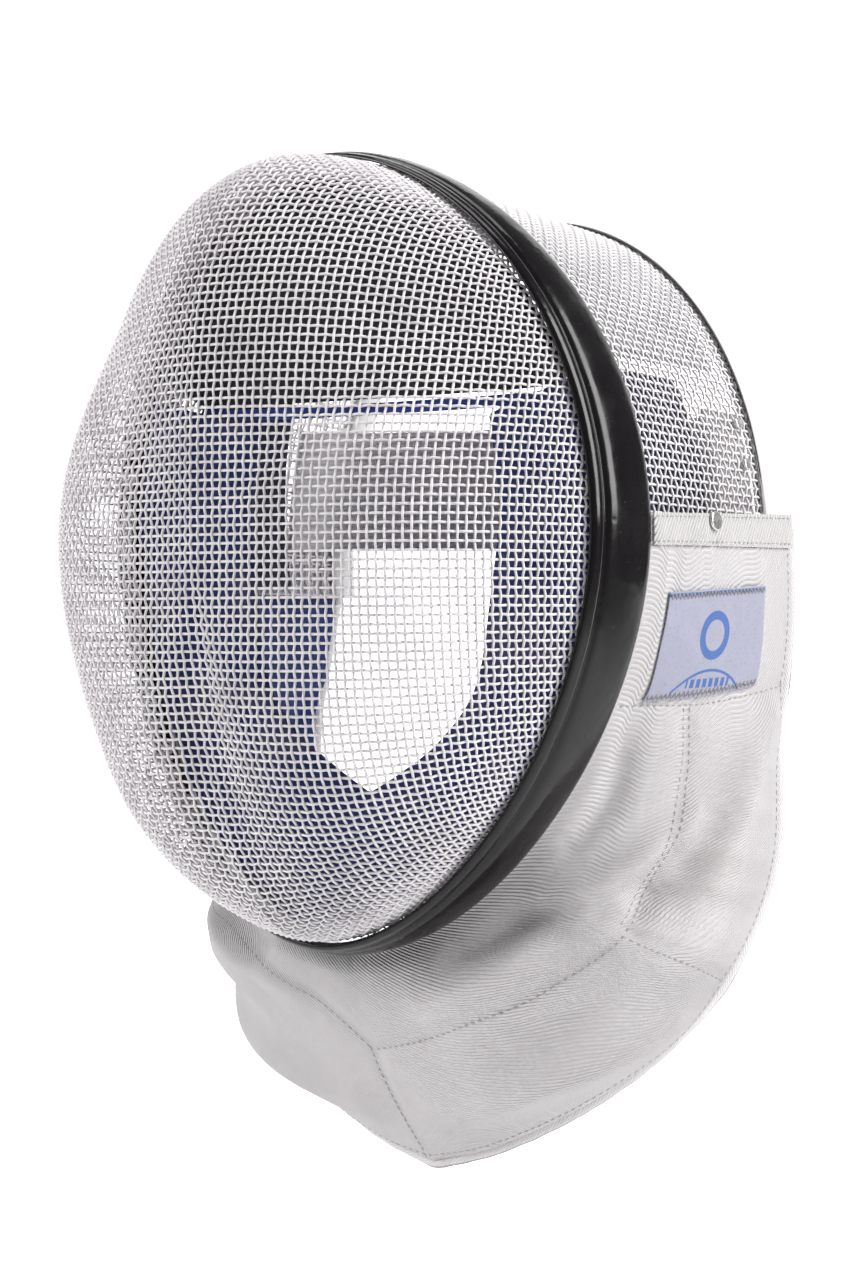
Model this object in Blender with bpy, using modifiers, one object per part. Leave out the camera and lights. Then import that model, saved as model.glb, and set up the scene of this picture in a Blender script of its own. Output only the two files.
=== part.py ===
"""A fencing mask: a domed wire-mesh face, a moulded ring, a mesh crown and a padded throat bib.

The wearer faces -Y and the wearer's left is +X. Every piece is shaped round the middle of the ring,
and an empty then moves them all, so that the origin is where the crown of the head meets the lining.
Metres, +Z up.
"""

import math

import bmesh
import bpy
from mathutils import Matrix, Vector

# Ring: the oval where the face mesh meets the crown mesh, seen from the front
RING_HALF_WIDTH = 0.111
RING_HALF_HEIGHT = 0.140
RING_TOP_FULLER = 0.08          # share by which the top of the oval is wider than its middle
RING_ROUNDNESS = 1.9            # 2 is an ellipse, less is more pointed
RING_BOW = 0.012                # the top and bottom of the ring lie this far in front of its sides

# Face mesh
DOME_DEPTH = 0.082
DOME_ROUNDNESS = 2.5            # how squarely the dome turns back at its rim
DOME_FULLNESS = (2.8, 2.3, 5.0, 4.0, 1.45)   # at the top, temple, cheek, jaw and chin
DOME_CREASE = 0.40              # strength of the upright crease
DOME_BROW = 0.0026              # the mesh swells this much over the ring's top before it turns down
MESH_WALL = 0.002               # two crossed wires of 1 mm
SKIRT = 0.006                   # the mesh runs this far back inside the ring

# Clearances
GAP = 0.0003
SOFT_GAP = 0.0005

# Moulded ring
TRIM_LAP = 0.0035               # the ring reaches this far in front of the rim
TRIM_BAND_SIDE = 0.027          # how far back it goes at the sides
TRIM_BAND_TOP = 0.012
TRIM_BAND_CHIN = 0.018
TRIM_WALL = 0.0022
TRIM_STAND = 0.0048             # height of its outer face over the mesh
TRIM_STAND_TOP = 0.0030         # which is less at the top
# Section of the ring: outward as a share of its stand, back as a share of the band or, if negative, of TRIM_LAP
TRIM_SECTION = (
    ("lip inside", 0.07, 0.02),
    ("lip edge", 0.30, -1.00),
    ("bead front", 0.62, -0.80),
    ("bead crest", 0.80, 0.00),
    ("bead back", 0.66, 0.07),
    ("groove", 0.56, 0.11),
    ("band front", 0.84, 0.17),
    ("band crest", 1.16, 0.52),
    ("band back", 1.12, 0.90),
    ("rear edge", 0.94, 1.00),
)
# Its inner face, in the same shares, from the rear edge to the front. TRIM_WALL is taken off the first two
TRIM_INSIDE = (
    ("rear edge", 0.94, 1.00),
    ("band", 1.00, 0.50),
    ("foot", 0.00, 0.22),
)

# Crown mesh
CROWN_TAPER = 0.005             # its rear edge is this much narrower than the ring, each side
CROWN_LOWER = 0.0135            # and this much lower at the top
CROWN_HALF_WIDTH = RING_HALF_WIDTH - CROWN_TAPER
CROWN_HEIGHT = RING_HALF_HEIGHT - CROWN_LOWER
CROWN_REAR = 0.1205             # the rear edge lies this far behind the ring
CROWN_ROUNDNESS = 2.05
CROWN_END_ANGLE = 96.0          # the arch stops this many degrees from the top, behind the bib
CROWN_COLUMNS = 20              # grid of the arch from its top down one side

# Channel on the crown's rear edge, with a thin strip along its front
CHANNEL_WALL = 0.0013
CHANNEL_WIDTH = 0.011
GASKET_WIDTH = 0.0022
GASKET_WALL = 0.0008

# Bib
BIB_WALL = 0.0040
BIB_TOP_ANGLE = 84.5            # the bib starts this many degrees from the ring's top
BIB_PAST_CROWN = 0.003          # its rear edge lies this far behind the crown's
BIB_EASE = 0.0065               # and this far outside it, each side
BIB_REAR = CROWN_REAR + BIB_PAST_CROWN
BIB_HALF_WIDTH = CROWN_HALF_WIDTH + BIB_EASE
BIB_DROP = 0.2315               # the tip hangs this far below the ring's middle
BIB_COLUMNS = 22                # grid of the bib, from the ear to the chin
BIB_GRID_ROWS = 8               # and from the ring to the binding
BINDING_RADIUS = 0.0026
BIB_BULGE = 0.018
# Each row: angle on the ring as a share from the ear (0) to the chin (1), then the edge point's width, depth and
# height as shares of BIB_HALF_WIDTH, BIB_REAR and BIB_DROP, then how far the cloth swells outward, forward and
# down between ring and edge, as shares of BIB_BULGE
BIB_ROWS = (
    ("ear", 0.00, 1.000, 0.992, 0.060, 0.00, 0.00, 0.00),
    ("lobe", 0.16, 1.000, 1.000, -0.110, 0.03, 0.00, 0.00),
    ("jaw corner", 0.32, 0.985, 0.965, -0.300, 0.20, 0.04, -0.06),
    ("jaw", 0.48, 0.975, 0.950, -0.490, 0.74, 0.18, -0.20),
    ("neck", 0.62, 0.940, 0.800, -0.645, 1.20, 0.46, -0.34),
    ("throat side", 0.74, 0.860, 0.615, -0.765, 1.25, 0.80, -0.26),
    ("throat", 0.85, 0.600, 0.490, -0.880, 0.80, 0.92, -0.12),
    ("tip side", 0.94, 0.260, 0.440, -0.965, 0.36, 0.72, 0.00),
    ("tip", 1.00, 0.000, 0.425, -1.000, 0.00, 0.60, 0.00),
)
# Each row: start and end of a soft fold on the bib, as shares round (ear to chin) and across (ring to edge),
# its half width as a share, and its height as a share of FOLD_HEIGHT
FOLD_HEIGHT = 0.004
BIB_FOLDS = (
    ("drape under the jaw", 0.93, 0.22, 0.46, 0.34, 0.055, 1.0),
    ("hollow under the jaw", 0.88, 0.10, 0.42, 0.20, 0.060, -0.8),
    ("cheek drape", 0.62, 0.12, 0.38, 0.62, 0.050, 0.8),
    ("throat hollow", 0.92, 0.66, 0.66, 0.62, 0.060, -0.7),
    ("neck drape", 0.60, 0.92, 0.34, 0.60, 0.060, 0.7),
)
SEAM_DEPTH = 0.0012
SEAM_WIDTH = 0.030
# Each row: start and end of a sewn channel, in the same shares
BIB_SEAMS = (
    ("throat seam", 1.00, 0.42, 0.52, 0.36),
    ("side of the throat seam", 0.52, 0.36, 0.56, 1.00),
    ("yoke", 0.245, 0.00, 0.205, 1.00),
    ("upright", 0.225, 0.34, 0.52, 0.36),
    ("centre", 1.00, 0.42, 1.00, 1.00),
)

# Bib lining
LINING_WALL = 0.0012
LINING_GAP = 0.0006              # it hangs a little clear of the quilted cloth
LINING_START = 3                # the lining begins at this column of the bib, below the crown mesh

# Tape on the bib's top edge, with its rivet
TAPE_WIDTH = 0.0126
TAPE_WALL = 0.0012
TAPE_RIVET_RADIUS = 0.0035
TAPE_RIVET_AT = 0.415           # share of the way from the ring to the rear edge
TAPE_RIVET_DROP = 0.24          # share of the tape's width below its top
RIVET_HEAD = 0.0012
RIVET_CREST = 0.7                # its flat top as a share of its radius

# Label
LABEL_WIDTH = 0.059
LABEL_HEIGHT = 0.0405
LABEL_WALL = 0.0007
LABEL_FROM_RING = 0.0112        # its front edge lies this far behind the ring
LABEL_DROP = 0.031              # its top edge lies this far below the bib's top edge
LABEL_RISE = 0.004              # the rear end of its top edge lies this far above the front end
LABEL_SPREAD = 0.006            # the bottom edge rises this much more

# Padding
PAD_WALL = 0.0080
BROW_EDGE_GAP = 0.0034          # the forehead pad's front corner lies this far inside the mesh
BROW_END_GAP = 0.0100           # and this far at the pad's ends
FACE_EDGE_GAP = 0.0032          # and that of the face pad
BROW_HEIGHT = 0.055             # the forehead pad's lower edge over the ring's middle
BROW_SET_BACK = 0.014
BROW_END_ANGLE = 59.0
PIPING_RADIUS = 0.0022
PIPING_GAP = 0.0016
FACE_START_ANGLE = 64.0
FACE_SET_BACK = 0.010
FACE_RIM = 0.037                # width of the face pad at the brow
FACE_HALF_WIDTH = RING_HALF_WIDTH - FACE_RIM
FACE_DROP = 0.086               # the opening's chin lies this far below the ring's middle
# Each row: share of the way round the pad, width and height of the opening's edge as shares of
# FACE_HALF_WIDTH and FACE_DROP
FACE_ROWS = (
    ("brow", 0.00, 0.74, 0.560),
    ("eye", 0.22, 0.80, 0.180),
    ("cheek", 0.42, 0.75, -0.200),
    ("jaw", 0.60, 0.66, -0.560),
    ("chin side", 0.76, 0.45, -0.770),
    ("chin edge", 0.90, 0.20, -0.910),
    ("chin", 1.00, 0.00, -1.000),
)
SIDE_PAD_WALL = 0.0050
SIDE_PAD_TOP = 0.0645           # height of the side pads' top edge over the ring's middle
SIDE_PAD_LOW = -0.012
SIDE_PAD_FRONT = (0.050, 0.20)  # shares of the crown's length at its low edge and at its top
SIDE_PAD_REAR = (0.660, 0.58)
CROWN_PAD_WALL = 0.0050
CROWN_PAD_ANGLE = 58.0
CROWN_PAD_FRONT = 0.20          # shares of the crown's length
CROWN_PAD_REAR = 0.86
HEAD_SEAT_AT = 0.52

# Strap across the back of the head
STRAP_WALL = 0.0018
STRAP_WIDTH = 0.045
STRAP_LOW = 0.004               # its lower edge over the ring's middle
STRAP_START = 0.68              # share of the crown's length where its end is riveted on
STRAP_LEAVES = 0.845            # and where it leaves the wall
STRAP_SAG = 0.012               # how far behind the crown its middle lies
STRAP_RIVET_RADIUS = 0.0022
STRAP_RIVET_AT = 0.83
STRAP_RIVET_HEIGHTS = (0.62, 0.95)           # as shares of the strap's width

# Grid of the face mesh, from its middle to the rim and from its top to its chin
FRONT_ROWS = 12
FRONT_COLUMNS = 24

NAME = "fencing_mask"


def power(value, exponent):
    """Power that keeps the sign."""
    return math.copysign(abs(value) ** exponent, value)


def along(rows, column, share):
    """Reads a column of a table at a share of its second column, on a smooth curve through the rows."""
    last = len(rows) - 1
    at = next((i for i in range(last) if share <= rows[i + 1][1]), last - 1)
    start, end = rows[at], rows[at + 1]
    run = end[1] - start[1]
    t = (share - start[1]) / run
    before, after = rows[max(at - 1, 0)], rows[min(at + 2, last)]
    slope_in = (end[column] - before[column]) / (end[1] - before[1])
    slope_out = (after[column] - start[column]) / (after[1] - start[1])
    square, cube = t * t, t * t * t
    return (
        (2 * cube - 3 * square + 1) * start[column]
        + (cube - 2 * square + t) * run * slope_in
        + (3 * square - 2 * cube) * end[column]
        + (cube - square) * run * slope_out
    )


def clear_scene():
    for thing in list(bpy.data.objects):
        bpy.data.objects.remove(thing, do_unlink=True)


def material(name, colour, roughness, metallic=0.0):
    made = bpy.data.materials.new(name)
    made.use_nodes = True
    shader = made.node_tree.nodes["Principled BSDF"]
    shader.inputs["Base Color"].default_value = (*colour, 1.0)
    shader.inputs["Roughness"].default_value = roughness
    shader.inputs["Metallic"].default_value = metallic
    return made


def keep(name, mesh, finish):
    """Puts a mesh into the mask's collection as a node, held by the empty."""
    thing = bpy.data.objects.new(name, mesh)
    bpy.data.collections[NAME].objects.link(thing)
    thing.parent = bpy.data.objects["head_seat_frame"]
    mesh.materials.append(finish)
    mesh.shade_smooth()
    return thing


def sheet(name, place, columns, rows, wall, finish, mirrored=True, depth=0.0):
    """A wall of even thickness: a grid laid over place(u, v), set in by depth and thickened inward."""
    shape = bmesh.new()
    bmesh.ops.create_grid(shape, x_segments=columns, y_segments=rows, size=0.5)
    for vert in shape.verts:
        vert.co = place(vert.co.x + 0.5, vert.co.y + 0.5)
    bmesh.ops.remove_doubles(shape, verts=shape.verts, dist=1e-6)
    inside = Vector((0, CROWN_REAR / 2, 0))
    shape.normal_update()
    facing = sum(face.normal.dot(face.calc_center_median() - inside) for face in shape.faces)
    if facing < 0:
        bmesh.ops.reverse_faces(shape, faces=shape.faces)
    mesh = bpy.data.meshes.new(name)
    shape.to_mesh(mesh)
    shape.free()
    thing = keep(name, mesh, finish)
    if mirrored:
        mirror = thing.modifiers.new("halves", "MIRROR")
        mirror.merge_threshold = 1e-5
    if depth:
        move = thing.modifiers.new("set in", "DISPLACE")
        move.direction = "NORMAL"
        move.mid_level = 0.0
        move.strength = -depth
    thick = thing.modifiers.new("wall", "SOLIDIFY")
    thick.thickness = wall
    thick.offset = -1
    return thing


def tube(name, points, radius, finish, sides=2):
    """A round cord along points, as a curve with capped ends."""
    curve = bpy.data.curves.new(name, "CURVE")
    curve.dimensions = "3D"
    curve.bevel_depth = radius
    curve.bevel_resolution = sides
    curve.use_fill_caps = True
    spline = curve.splines.new("POLY")
    spline.points.add(len(points) - 1)
    for node, point in zip(spline.points, points):
        node.co = (*point, 1.0)
    thing = bpy.data.objects.new(name, curve)
    bpy.data.collections[NAME].objects.link(thing)
    thing.parent = bpy.data.objects["head_seat_frame"]
    curve.materials.append(finish)
    return thing


def rivet(name, surface, u, v, side, radius, finish):
    """A round rivet head lying on a surface, with its edge bevelled."""
    point = surface(u, v)
    normal = outward(surface, u, v)
    if side < 0:
        point = Vector((-point.x, point.y, point.z))
        normal = Vector((-normal.x, normal.y, normal.z))
    turned = normal.to_track_quat("Z", "Y").to_matrix().to_4x4()
    middle = Matrix.Translation(point + normal * (GAP + RIVET_HEAD / 2)) @ turned
    shape = bmesh.new()
    crest = radius * RIVET_CREST
    bmesh.ops.create_cone(
        shape, cap_ends=True, segments=12, radius1=radius, radius2=crest, depth=RIVET_HEAD
    )
    mesh = bpy.data.meshes.new(name)
    shape.to_mesh(mesh)
    shape.free()
    thing = keep(name, mesh, finish)
    thing.matrix_local = middle
    return thing


def outward(surface, u, v):
    """Unit normal of a surface whose u runs down or round and whose v runs back."""
    step = 1e-3
    low_u, high_u = max(u - step, 0), min(u + step, 1)
    low_v, high_v = max(v - step, 0), min(v + step, 1)
    run_u = surface(high_u, v) - surface(low_u, v)
    run_v = surface(u, high_v) - surface(u, low_v)
    return run_u.cross(run_v).normalized()


def inset(surface, depth):
    """The same surface, moved inward by depth. Points on the mirror plane stay on it."""

    def moved(u, v):
        point = surface(u, v)
        normal = outward(surface, u, v)
        if abs(point.x) < 1e-7:
            normal = Vector((0, normal.y, normal.z)).normalized()
        return point - normal * depth

    return moved


def rim_oval(angle):
    """Half width and height of the ring's oval, in degrees from its top towards +X."""
    turn = math.radians(angle)
    height = power(math.cos(turn), 2 / RING_ROUNDNESS)
    width = power(math.sin(turn), 2 / RING_ROUNDNESS) if angle % 180 else 0.0
    return width, height


def rim_point(angle, out=0.0, back=0.0):
    """A point of the ring's oval, moved outward in its plane and back."""

    def flat(degrees):
        width, height = rim_oval(degrees)
        x = RING_HALF_WIDTH * width * (1 + RING_TOP_FULLER * height)
        return Vector((x, 0, RING_HALF_HEIGHT * height))

    step = 0.5
    here = flat(angle)
    run = flat(angle + step) - flat(angle - step)
    normal = Vector((-run.z, 0, run.x)).normalized()
    if angle % 180 == 0:
        normal = Vector((0, 0, 1 if angle % 360 == 0 else -1))
    point = here + normal * out
    point.y = back - RING_BOW * (here.z / RING_HALF_HEIGHT) ** 2
    return point


def fullness(width, height):
    """Reads DOME_FULLNESS at a direction from the dome's middle."""
    turn = math.atan2(width, height) / (math.pi / 4)
    at = min(int(turn), 3)
    t = turn - at
    t = t * t * (3 - 2 * t)
    return DOME_FULLNESS[at] * (1 - t) + DOME_FULLNESS[at + 1] * t


def dome_point(angle, swing):
    """A point of the face mesh: angle round the ring, swing from 0 at the middle to 90 at the rim."""
    width, height = rim_oval(angle)
    out_share, front_share = math.sin(math.radians(swing)), math.cos(math.radians(swing))
    if swing >= 90:
        return rim_point(angle)
    exponent = fullness(width, height)
    low, high = 0.0, 1.5
    for _ in range(40):
        reach = (low + high) / 2
        out, front = reach * out_share, reach * front_share
        filled = out**exponent + front**DOME_ROUNDNESS + DOME_CREASE * width * out * front
        low, high = (reach, high) if filled < 1 else (low, reach)
    out, front = low * out_share, low * front_share
    swell = DOME_BROW * 4 * front * (1 - front) * max(height * out, 0) ** 2
    z = RING_HALF_HEIGHT * height * out + swell
    x = RING_HALF_WIDTH * width * out * (1 + RING_TOP_FULLER * height * out)
    return Vector((x, -DOME_DEPTH * front - RING_BOW * (height * out) ** 2, z))


def front_surface(u, v):
    """Face mesh and its skirt: u from the ring's top to its bottom, v from the middle to the skirt's edge."""
    angle, turn_at = 180 * u, FRONT_ROWS / (FRONT_ROWS + 1)
    if v <= turn_at + 1e-6:
        return dome_point(angle, min(90 * v / turn_at, 90))
    return rim_point(angle, back=SKIRT * (v - turn_at) / (1 - turn_at))


def band_width(angle):
    """How far back the moulded ring goes, at an angle round it."""
    side = math.sin(math.radians(angle)) ** 2
    end = TRIM_BAND_TOP if math.cos(math.radians(angle)) > 0 else TRIM_BAND_CHIN
    return end + (TRIM_BAND_SIDE - end) * side


def band_stand(angle):
    """How far the moulded ring stands over the mesh, at an angle round it."""
    top = max(math.cos(math.radians(angle)), 0) ** 2
    return TRIM_STAND + (TRIM_STAND_TOP - TRIM_STAND) * top


def crown_surface(u, v):
    """Crown mesh: u from the top down one side, v from the ring to the rear edge."""
    angle = CROWN_END_ANGLE * u
    turn = math.radians(angle)
    front = rim_point(angle, back=SKIRT + 2 * SOFT_GAP)
    width = power(math.sin(turn), 2 / CROWN_ROUNDNESS) if u > 0 else 0.0
    height = power(math.cos(turn), 2 / CROWN_ROUNDNESS)
    rear = Vector((CROWN_HALF_WIDTH * width, CROWN_REAR, CROWN_HEIGHT * height))
    return front.lerp(rear, v)


def segment_share(u, v, start_u, start_v, end_u, end_v):
    """Distance from (u, v) to a segment, and how far along the segment the nearest point is."""
    run_u, run_v = end_u - start_u, end_v - start_v
    t = ((u - start_u) * run_u + (v - start_v) * run_v) / (run_u**2 + run_v**2)
    t = min(max(t, 0), 1)
    return math.hypot(u - start_u - t * run_u, v - start_v - t * run_v), t


def bib_relief(u, v):
    """Height of the folds and sewn channels over the plain bib."""
    height = 0.0
    for _, start_u, start_v, end_u, end_v, half_width, share in BIB_FOLDS:
        distance, t = segment_share(u, v, start_u, start_v, end_u, end_v)
        taper = math.sin(math.pi * (0.15 + 0.7 * t))
        height += FOLD_HEIGHT * share * taper * math.exp(-((distance / half_width) ** 2))
    for _, start_u, start_v, end_u, end_v in BIB_SEAMS:
        distance, _ = segment_share(u, v, start_u, start_v, end_u, end_v)
        height -= SEAM_DEPTH * math.exp(-((distance / SEAM_WIDTH) ** 2))
    calm = min(v / 0.1, (1 - v) / 0.1, u / 0.1, 1)
    return height * max(calm, 0)


def bib_plain(u, v):
    """Outer face of the bib without folds: u from the ear to the chin, v from the ring to the binding."""
    angle = BIB_TOP_ANGLE + (180 - BIB_TOP_ANGLE) * u
    start = rim_point(angle, SOFT_GAP + BIB_WALL, band_width(angle) + GAP)
    end = Vector((
        BIB_HALF_WIDTH * along(BIB_ROWS, 2, u),
        BIB_REAR * along(BIB_ROWS, 3, u),
        BIB_DROP * along(BIB_ROWS, 4, u),
    ))
    length = (end - start).length
    reach = v * (1 - (2 * BINDING_RADIUS + GAP) / length)
    swell = 4 * reach * (1 - reach) * (1 + 0.6 * (0.5 - reach))
    bulge = Vector((along(BIB_ROWS, 5, u), -along(BIB_ROWS, 6, u), along(BIB_ROWS, 7, u)))
    point = start.lerp(end, reach) + bulge * BIB_BULGE * swell
    if u >= 1:
        point.x = 0.0
    return point


def bib_surface(u, v):
    """Outer face of the bib with its folds."""
    return inset(bib_plain, -bib_relief(u, v))(u, v)


def bib_fall():
    """How far the bib falls for each unit of its share round, near the ear."""
    first, second = BIB_ROWS[0], BIB_ROWS[1]
    return BIB_DROP * (first[4] - second[4]) / (second[1] - first[1])


def build_front_mesh():
    finish = material("painted_wire", (0.80, 0.78, 0.79), 0.45)
    sheet("front_mesh", front_surface, FRONT_COLUMNS, FRONT_ROWS + 1, MESH_WALL, finish)


def build_crown_mesh():
    finish = material("painted_wire_crown", (0.80, 0.78, 0.79), 0.45)
    sheet("crown_mesh", crown_surface, CROWN_COLUMNS, 5, MESH_WALL, finish)


def build_edge_trim():
    """The moulded ring: its section, closed, carried round the oval."""
    finish = material("black_moulding", (0.012, 0.011, 0.012), 0.12)
    stations = 2 * FRONT_COLUMNS
    shape = bmesh.new()
    rings = []
    for i in range(stations):
        angle = 360 * i / stations
        band, stand = band_width(angle), band_stand(angle)
        ring = []
        for _, out, back in TRIM_SECTION:
            depth = back * (TRIM_LAP if back < 0 else band)
            ring.append(shape.verts.new(rim_point(angle, max(out * stand, GAP), depth)))
        for _, out, back in TRIM_INSIDE:
            ring.append(shape.verts.new(rim_point(angle, max(out * stand - TRIM_WALL, GAP), back * band)))
        rings.append(ring)
    for i, ring in enumerate(rings):
        after = rings[(i + 1) % stations]
        for j, vert in enumerate(ring):
            k = (j + 1) % len(ring)
            shape.faces.new((vert, after[j], after[k], ring[k]))
    bmesh.ops.recalc_face_normals(shape, faces=shape.faces)
    mesh = bpy.data.meshes.new("edge_trim")
    shape.to_mesh(mesh)
    shape.free()
    keep("edge_trim", mesh, finish)


def build_rear_channel():
    """The channel folded over the crown's rear edge, and the strip along its front."""
    white = material("white_channel", (0.80, 0.79, 0.78), 0.4)
    black = material("black_strip", (0.02, 0.02, 0.02), 0.5)
    outer = inset(crown_surface, -(CHANNEL_WALL + GAP))
    inner = inset(crown_surface, MESH_WALL + GAP + CHANNEL_WALL)
    length = crown_surface(1, 1).y - crown_surface(1, 0).y
    front = 1 - CHANNEL_WIDTH / length

    def channel(u, v):
        """v runs along the outer face, over the edge and back along the inner one."""
        face, reach = (outer, v / 0.4) if v < 0.5 else (inner, (1 - v) / 0.4)
        point = face(u, front + (1 - front) * min(reach, 1))
        if reach > 0.99:
            point.y = CROWN_REAR + GAP + CHANNEL_WALL
        return point

    sheet("rear_band", channel, CROWN_COLUMNS, 5, CHANNEL_WALL, white)
    strip_front = front - (GASKET_WIDTH + GAP) / length
    strip_rear = front - GAP / length

    def strip(u, v):
        return inset(crown_surface, -(GASKET_WALL + GAP))(u, strip_front + (strip_rear - strip_front) * v)

    sheet("rear_gasket", strip, CROWN_COLUMNS, 1, GASKET_WALL, black)


def build_bib():
    cloth = material("white_twill", (0.78, 0.77, 0.76), 0.85)
    blue = material("blue_lining", (0.02, 0.05, 0.22), 0.8)
    sheet("bib", bib_surface, BIB_COLUMNS, BIB_GRID_ROWS, BIB_WALL, cloth)
    start, columns = LINING_START / BIB_COLUMNS, BIB_COLUMNS - LINING_START

    def lining(u, v):
        return bib_surface(start + (1 - start) * u, v)

    sheet("bib_lining", lining, columns, BIB_GRID_ROWS, LINING_WALL, blue, depth=BIB_WALL + LINING_GAP)


def build_binding():
    """The rolled binding runs down one rear edge, round the tip and up the other."""
    finish = material("white_binding", (0.78, 0.77, 0.76), 0.8)
    middle = inset(bib_surface, BIB_WALL / 2)
    half = []
    for column in range(1, BIB_COLUMNS + 1):
        edge, before = middle(column / BIB_COLUMNS, 1), middle(column / BIB_COLUMNS, 0.97)
        half.append(edge + (edge - before).normalized() * (BINDING_RADIUS + SOFT_GAP))
    half[-1].x = 0.0
    other = [Vector((-point.x, point.y, point.z)) for point in reversed(half[:-1])]
    tube("bib_binding", half + other, BINDING_RADIUS, finish, sides=1)


def build_tapes():
    """A tape covers the bib's top edge at each ear, with a rivet through it."""
    tape = material("white_tape", (0.82, 0.81, 0.80), 0.75)
    steel = material("steel_rivet", (0.62, 0.61, 0.60), 0.3, 1.0)
    drop = TAPE_WIDTH / bib_fall()
    over = inset(bib_surface, -(TAPE_WALL + GAP))

    def left(u, v):
        return over(drop * u, 0.005 + 0.99 * v)

    def right(u, v):
        point = left(u, v)
        return Vector((-point.x, point.y, point.z))

    for side, name, place in ((1, "left", left), (-1, "right", right)):
        sheet("ear_tape_" + name, place, 2, 8, TAPE_WALL, tape, mirrored=False)
        rivet("tape_rivet_" + name, left, TAPE_RIVET_DROP, TAPE_RIVET_AT, side, TAPE_RIVET_RADIUS, steel)


def build_label():
    """The woven label on the wearer's left, sewn on just above the yoke."""
    finish = material("woven_label", (0.62, 0.62, 0.72), 0.7)
    over = inset(bib_plain, -(LABEL_WALL + SOFT_GAP))
    fall = bib_fall()

    def place(u, v):
        down = (LABEL_DROP + LABEL_HEIGHT * v - (LABEL_RISE + LABEL_SPREAD * v) * u) / fall
        length = (bib_plain(down, 1) - bib_plain(down, 0)).length
        return over(down, (LABEL_FROM_RING + LABEL_WIDTH * u) / length)

    sheet("label", place, 6, 4, LABEL_WALL, finish, mirrored=False)


def build_forehead_pad():
    """The padded panel behind the top of the face mesh, with piping along its lower edge."""
    grey = material("forehead_cloth", (0.035, 0.035, 0.045), 0.9)
    blue = material("blue_piping", (0.03, 0.07, 0.35), 0.6)

    def pad(u, v):
        angle = BROW_END_ANGLE * u
        clear = BROW_EDGE_GAP + (BROW_END_GAP - BROW_EDGE_GAP) * u * u
        top = rim_point(angle, -(MESH_WALL + clear), SOFT_GAP)
        low = Vector((top.x, BROW_SET_BACK, BROW_HEIGHT))
        return low.lerp(top, v)

    sheet("forehead_pad", pad, 9, 3, PAD_WALL, grey)
    half = []
    for i in range(13):
        edge, above = pad(i / 12, 0), pad(i / 12, 0.1)
        down = (edge - above).normalized()
        back = -outward(pad, i / 12, 0)
        half.append(edge + back * PAD_WALL / 2 + down * (PIPING_RADIUS + PIPING_GAP))
    half[0].x = 0.0
    other = [Vector((-point.x, point.y, point.z)) for point in reversed(half[1:])]
    tube("forehead_piping", other + half, PIPING_RADIUS, blue, sides=1)


def build_face_pad():
    """The padded ring round the face opening, from the brow down round the chin."""
    finish = material("blue_padding", (0.02, 0.05, 0.24), 0.85)

    def pad(u, v):
        angle = FACE_START_ANGLE + (180 - FACE_START_ANGLE) * u
        rim = rim_point(angle, -(MESH_WALL + FACE_EDGE_GAP), SOFT_GAP)
        opening = Vector((
            FACE_HALF_WIDTH * along(FACE_ROWS, 2, u),
            FACE_SET_BACK,
            FACE_DROP * along(FACE_ROWS, 3, u),
        ))
        if u >= 1:
            opening.x = 0.0
        return rim.lerp(opening, v)

    sheet("face_pad", pad, 15, 3, PAD_WALL, finish)


def build_crown_lining():
    finish = material("crown_cloth", (0.45, 0.45, 0.47), 0.9)
    under = inset(crown_surface, MESH_WALL + SOFT_GAP)
    most = CROWN_PAD_ANGLE / CROWN_END_ANGLE

    def place(u, v):
        return under(most * u, CROWN_PAD_FRONT + (CROWN_PAD_REAR - CROWN_PAD_FRONT) * v)

    sheet("crown_lining", place, 8, 4, CROWN_PAD_WALL, finish)


def wall_share(height, v):
    """Share u at which the crown wall has a height over the ring's middle, at a share v of its length."""
    low, high = 0.0, 1.0
    for _ in range(40):
        middle = (low + high) / 2
        low, high = (middle, high) if crown_surface(middle, v).z > height else (low, middle)
    return low


def build_side_pads():
    """A dark pad lies on the crown's inner wall at each side, from the face pad back to the strap."""
    finish = material("side_padding", (0.012, 0.020, 0.070), 0.85)
    under = inset(crown_surface, MESH_WALL + SOFT_GAP)

    def left(u, v):
        front, rear = (low + (top - low) * u for low, top in (SIDE_PAD_FRONT, SIDE_PAD_REAR))
        across = front + (rear - front) * v
        return under(wall_share(SIDE_PAD_LOW + (SIDE_PAD_TOP - SIDE_PAD_LOW) * u, across), across)

    def right(u, v):
        point = left(u, v)
        return Vector((-point.x, point.y, point.z))

    for name, place in (("left", left), ("right", right)):
        sheet("side_pad_" + name, place, 3, 2, SIDE_PAD_WALL, finish, mirrored=False)


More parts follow.
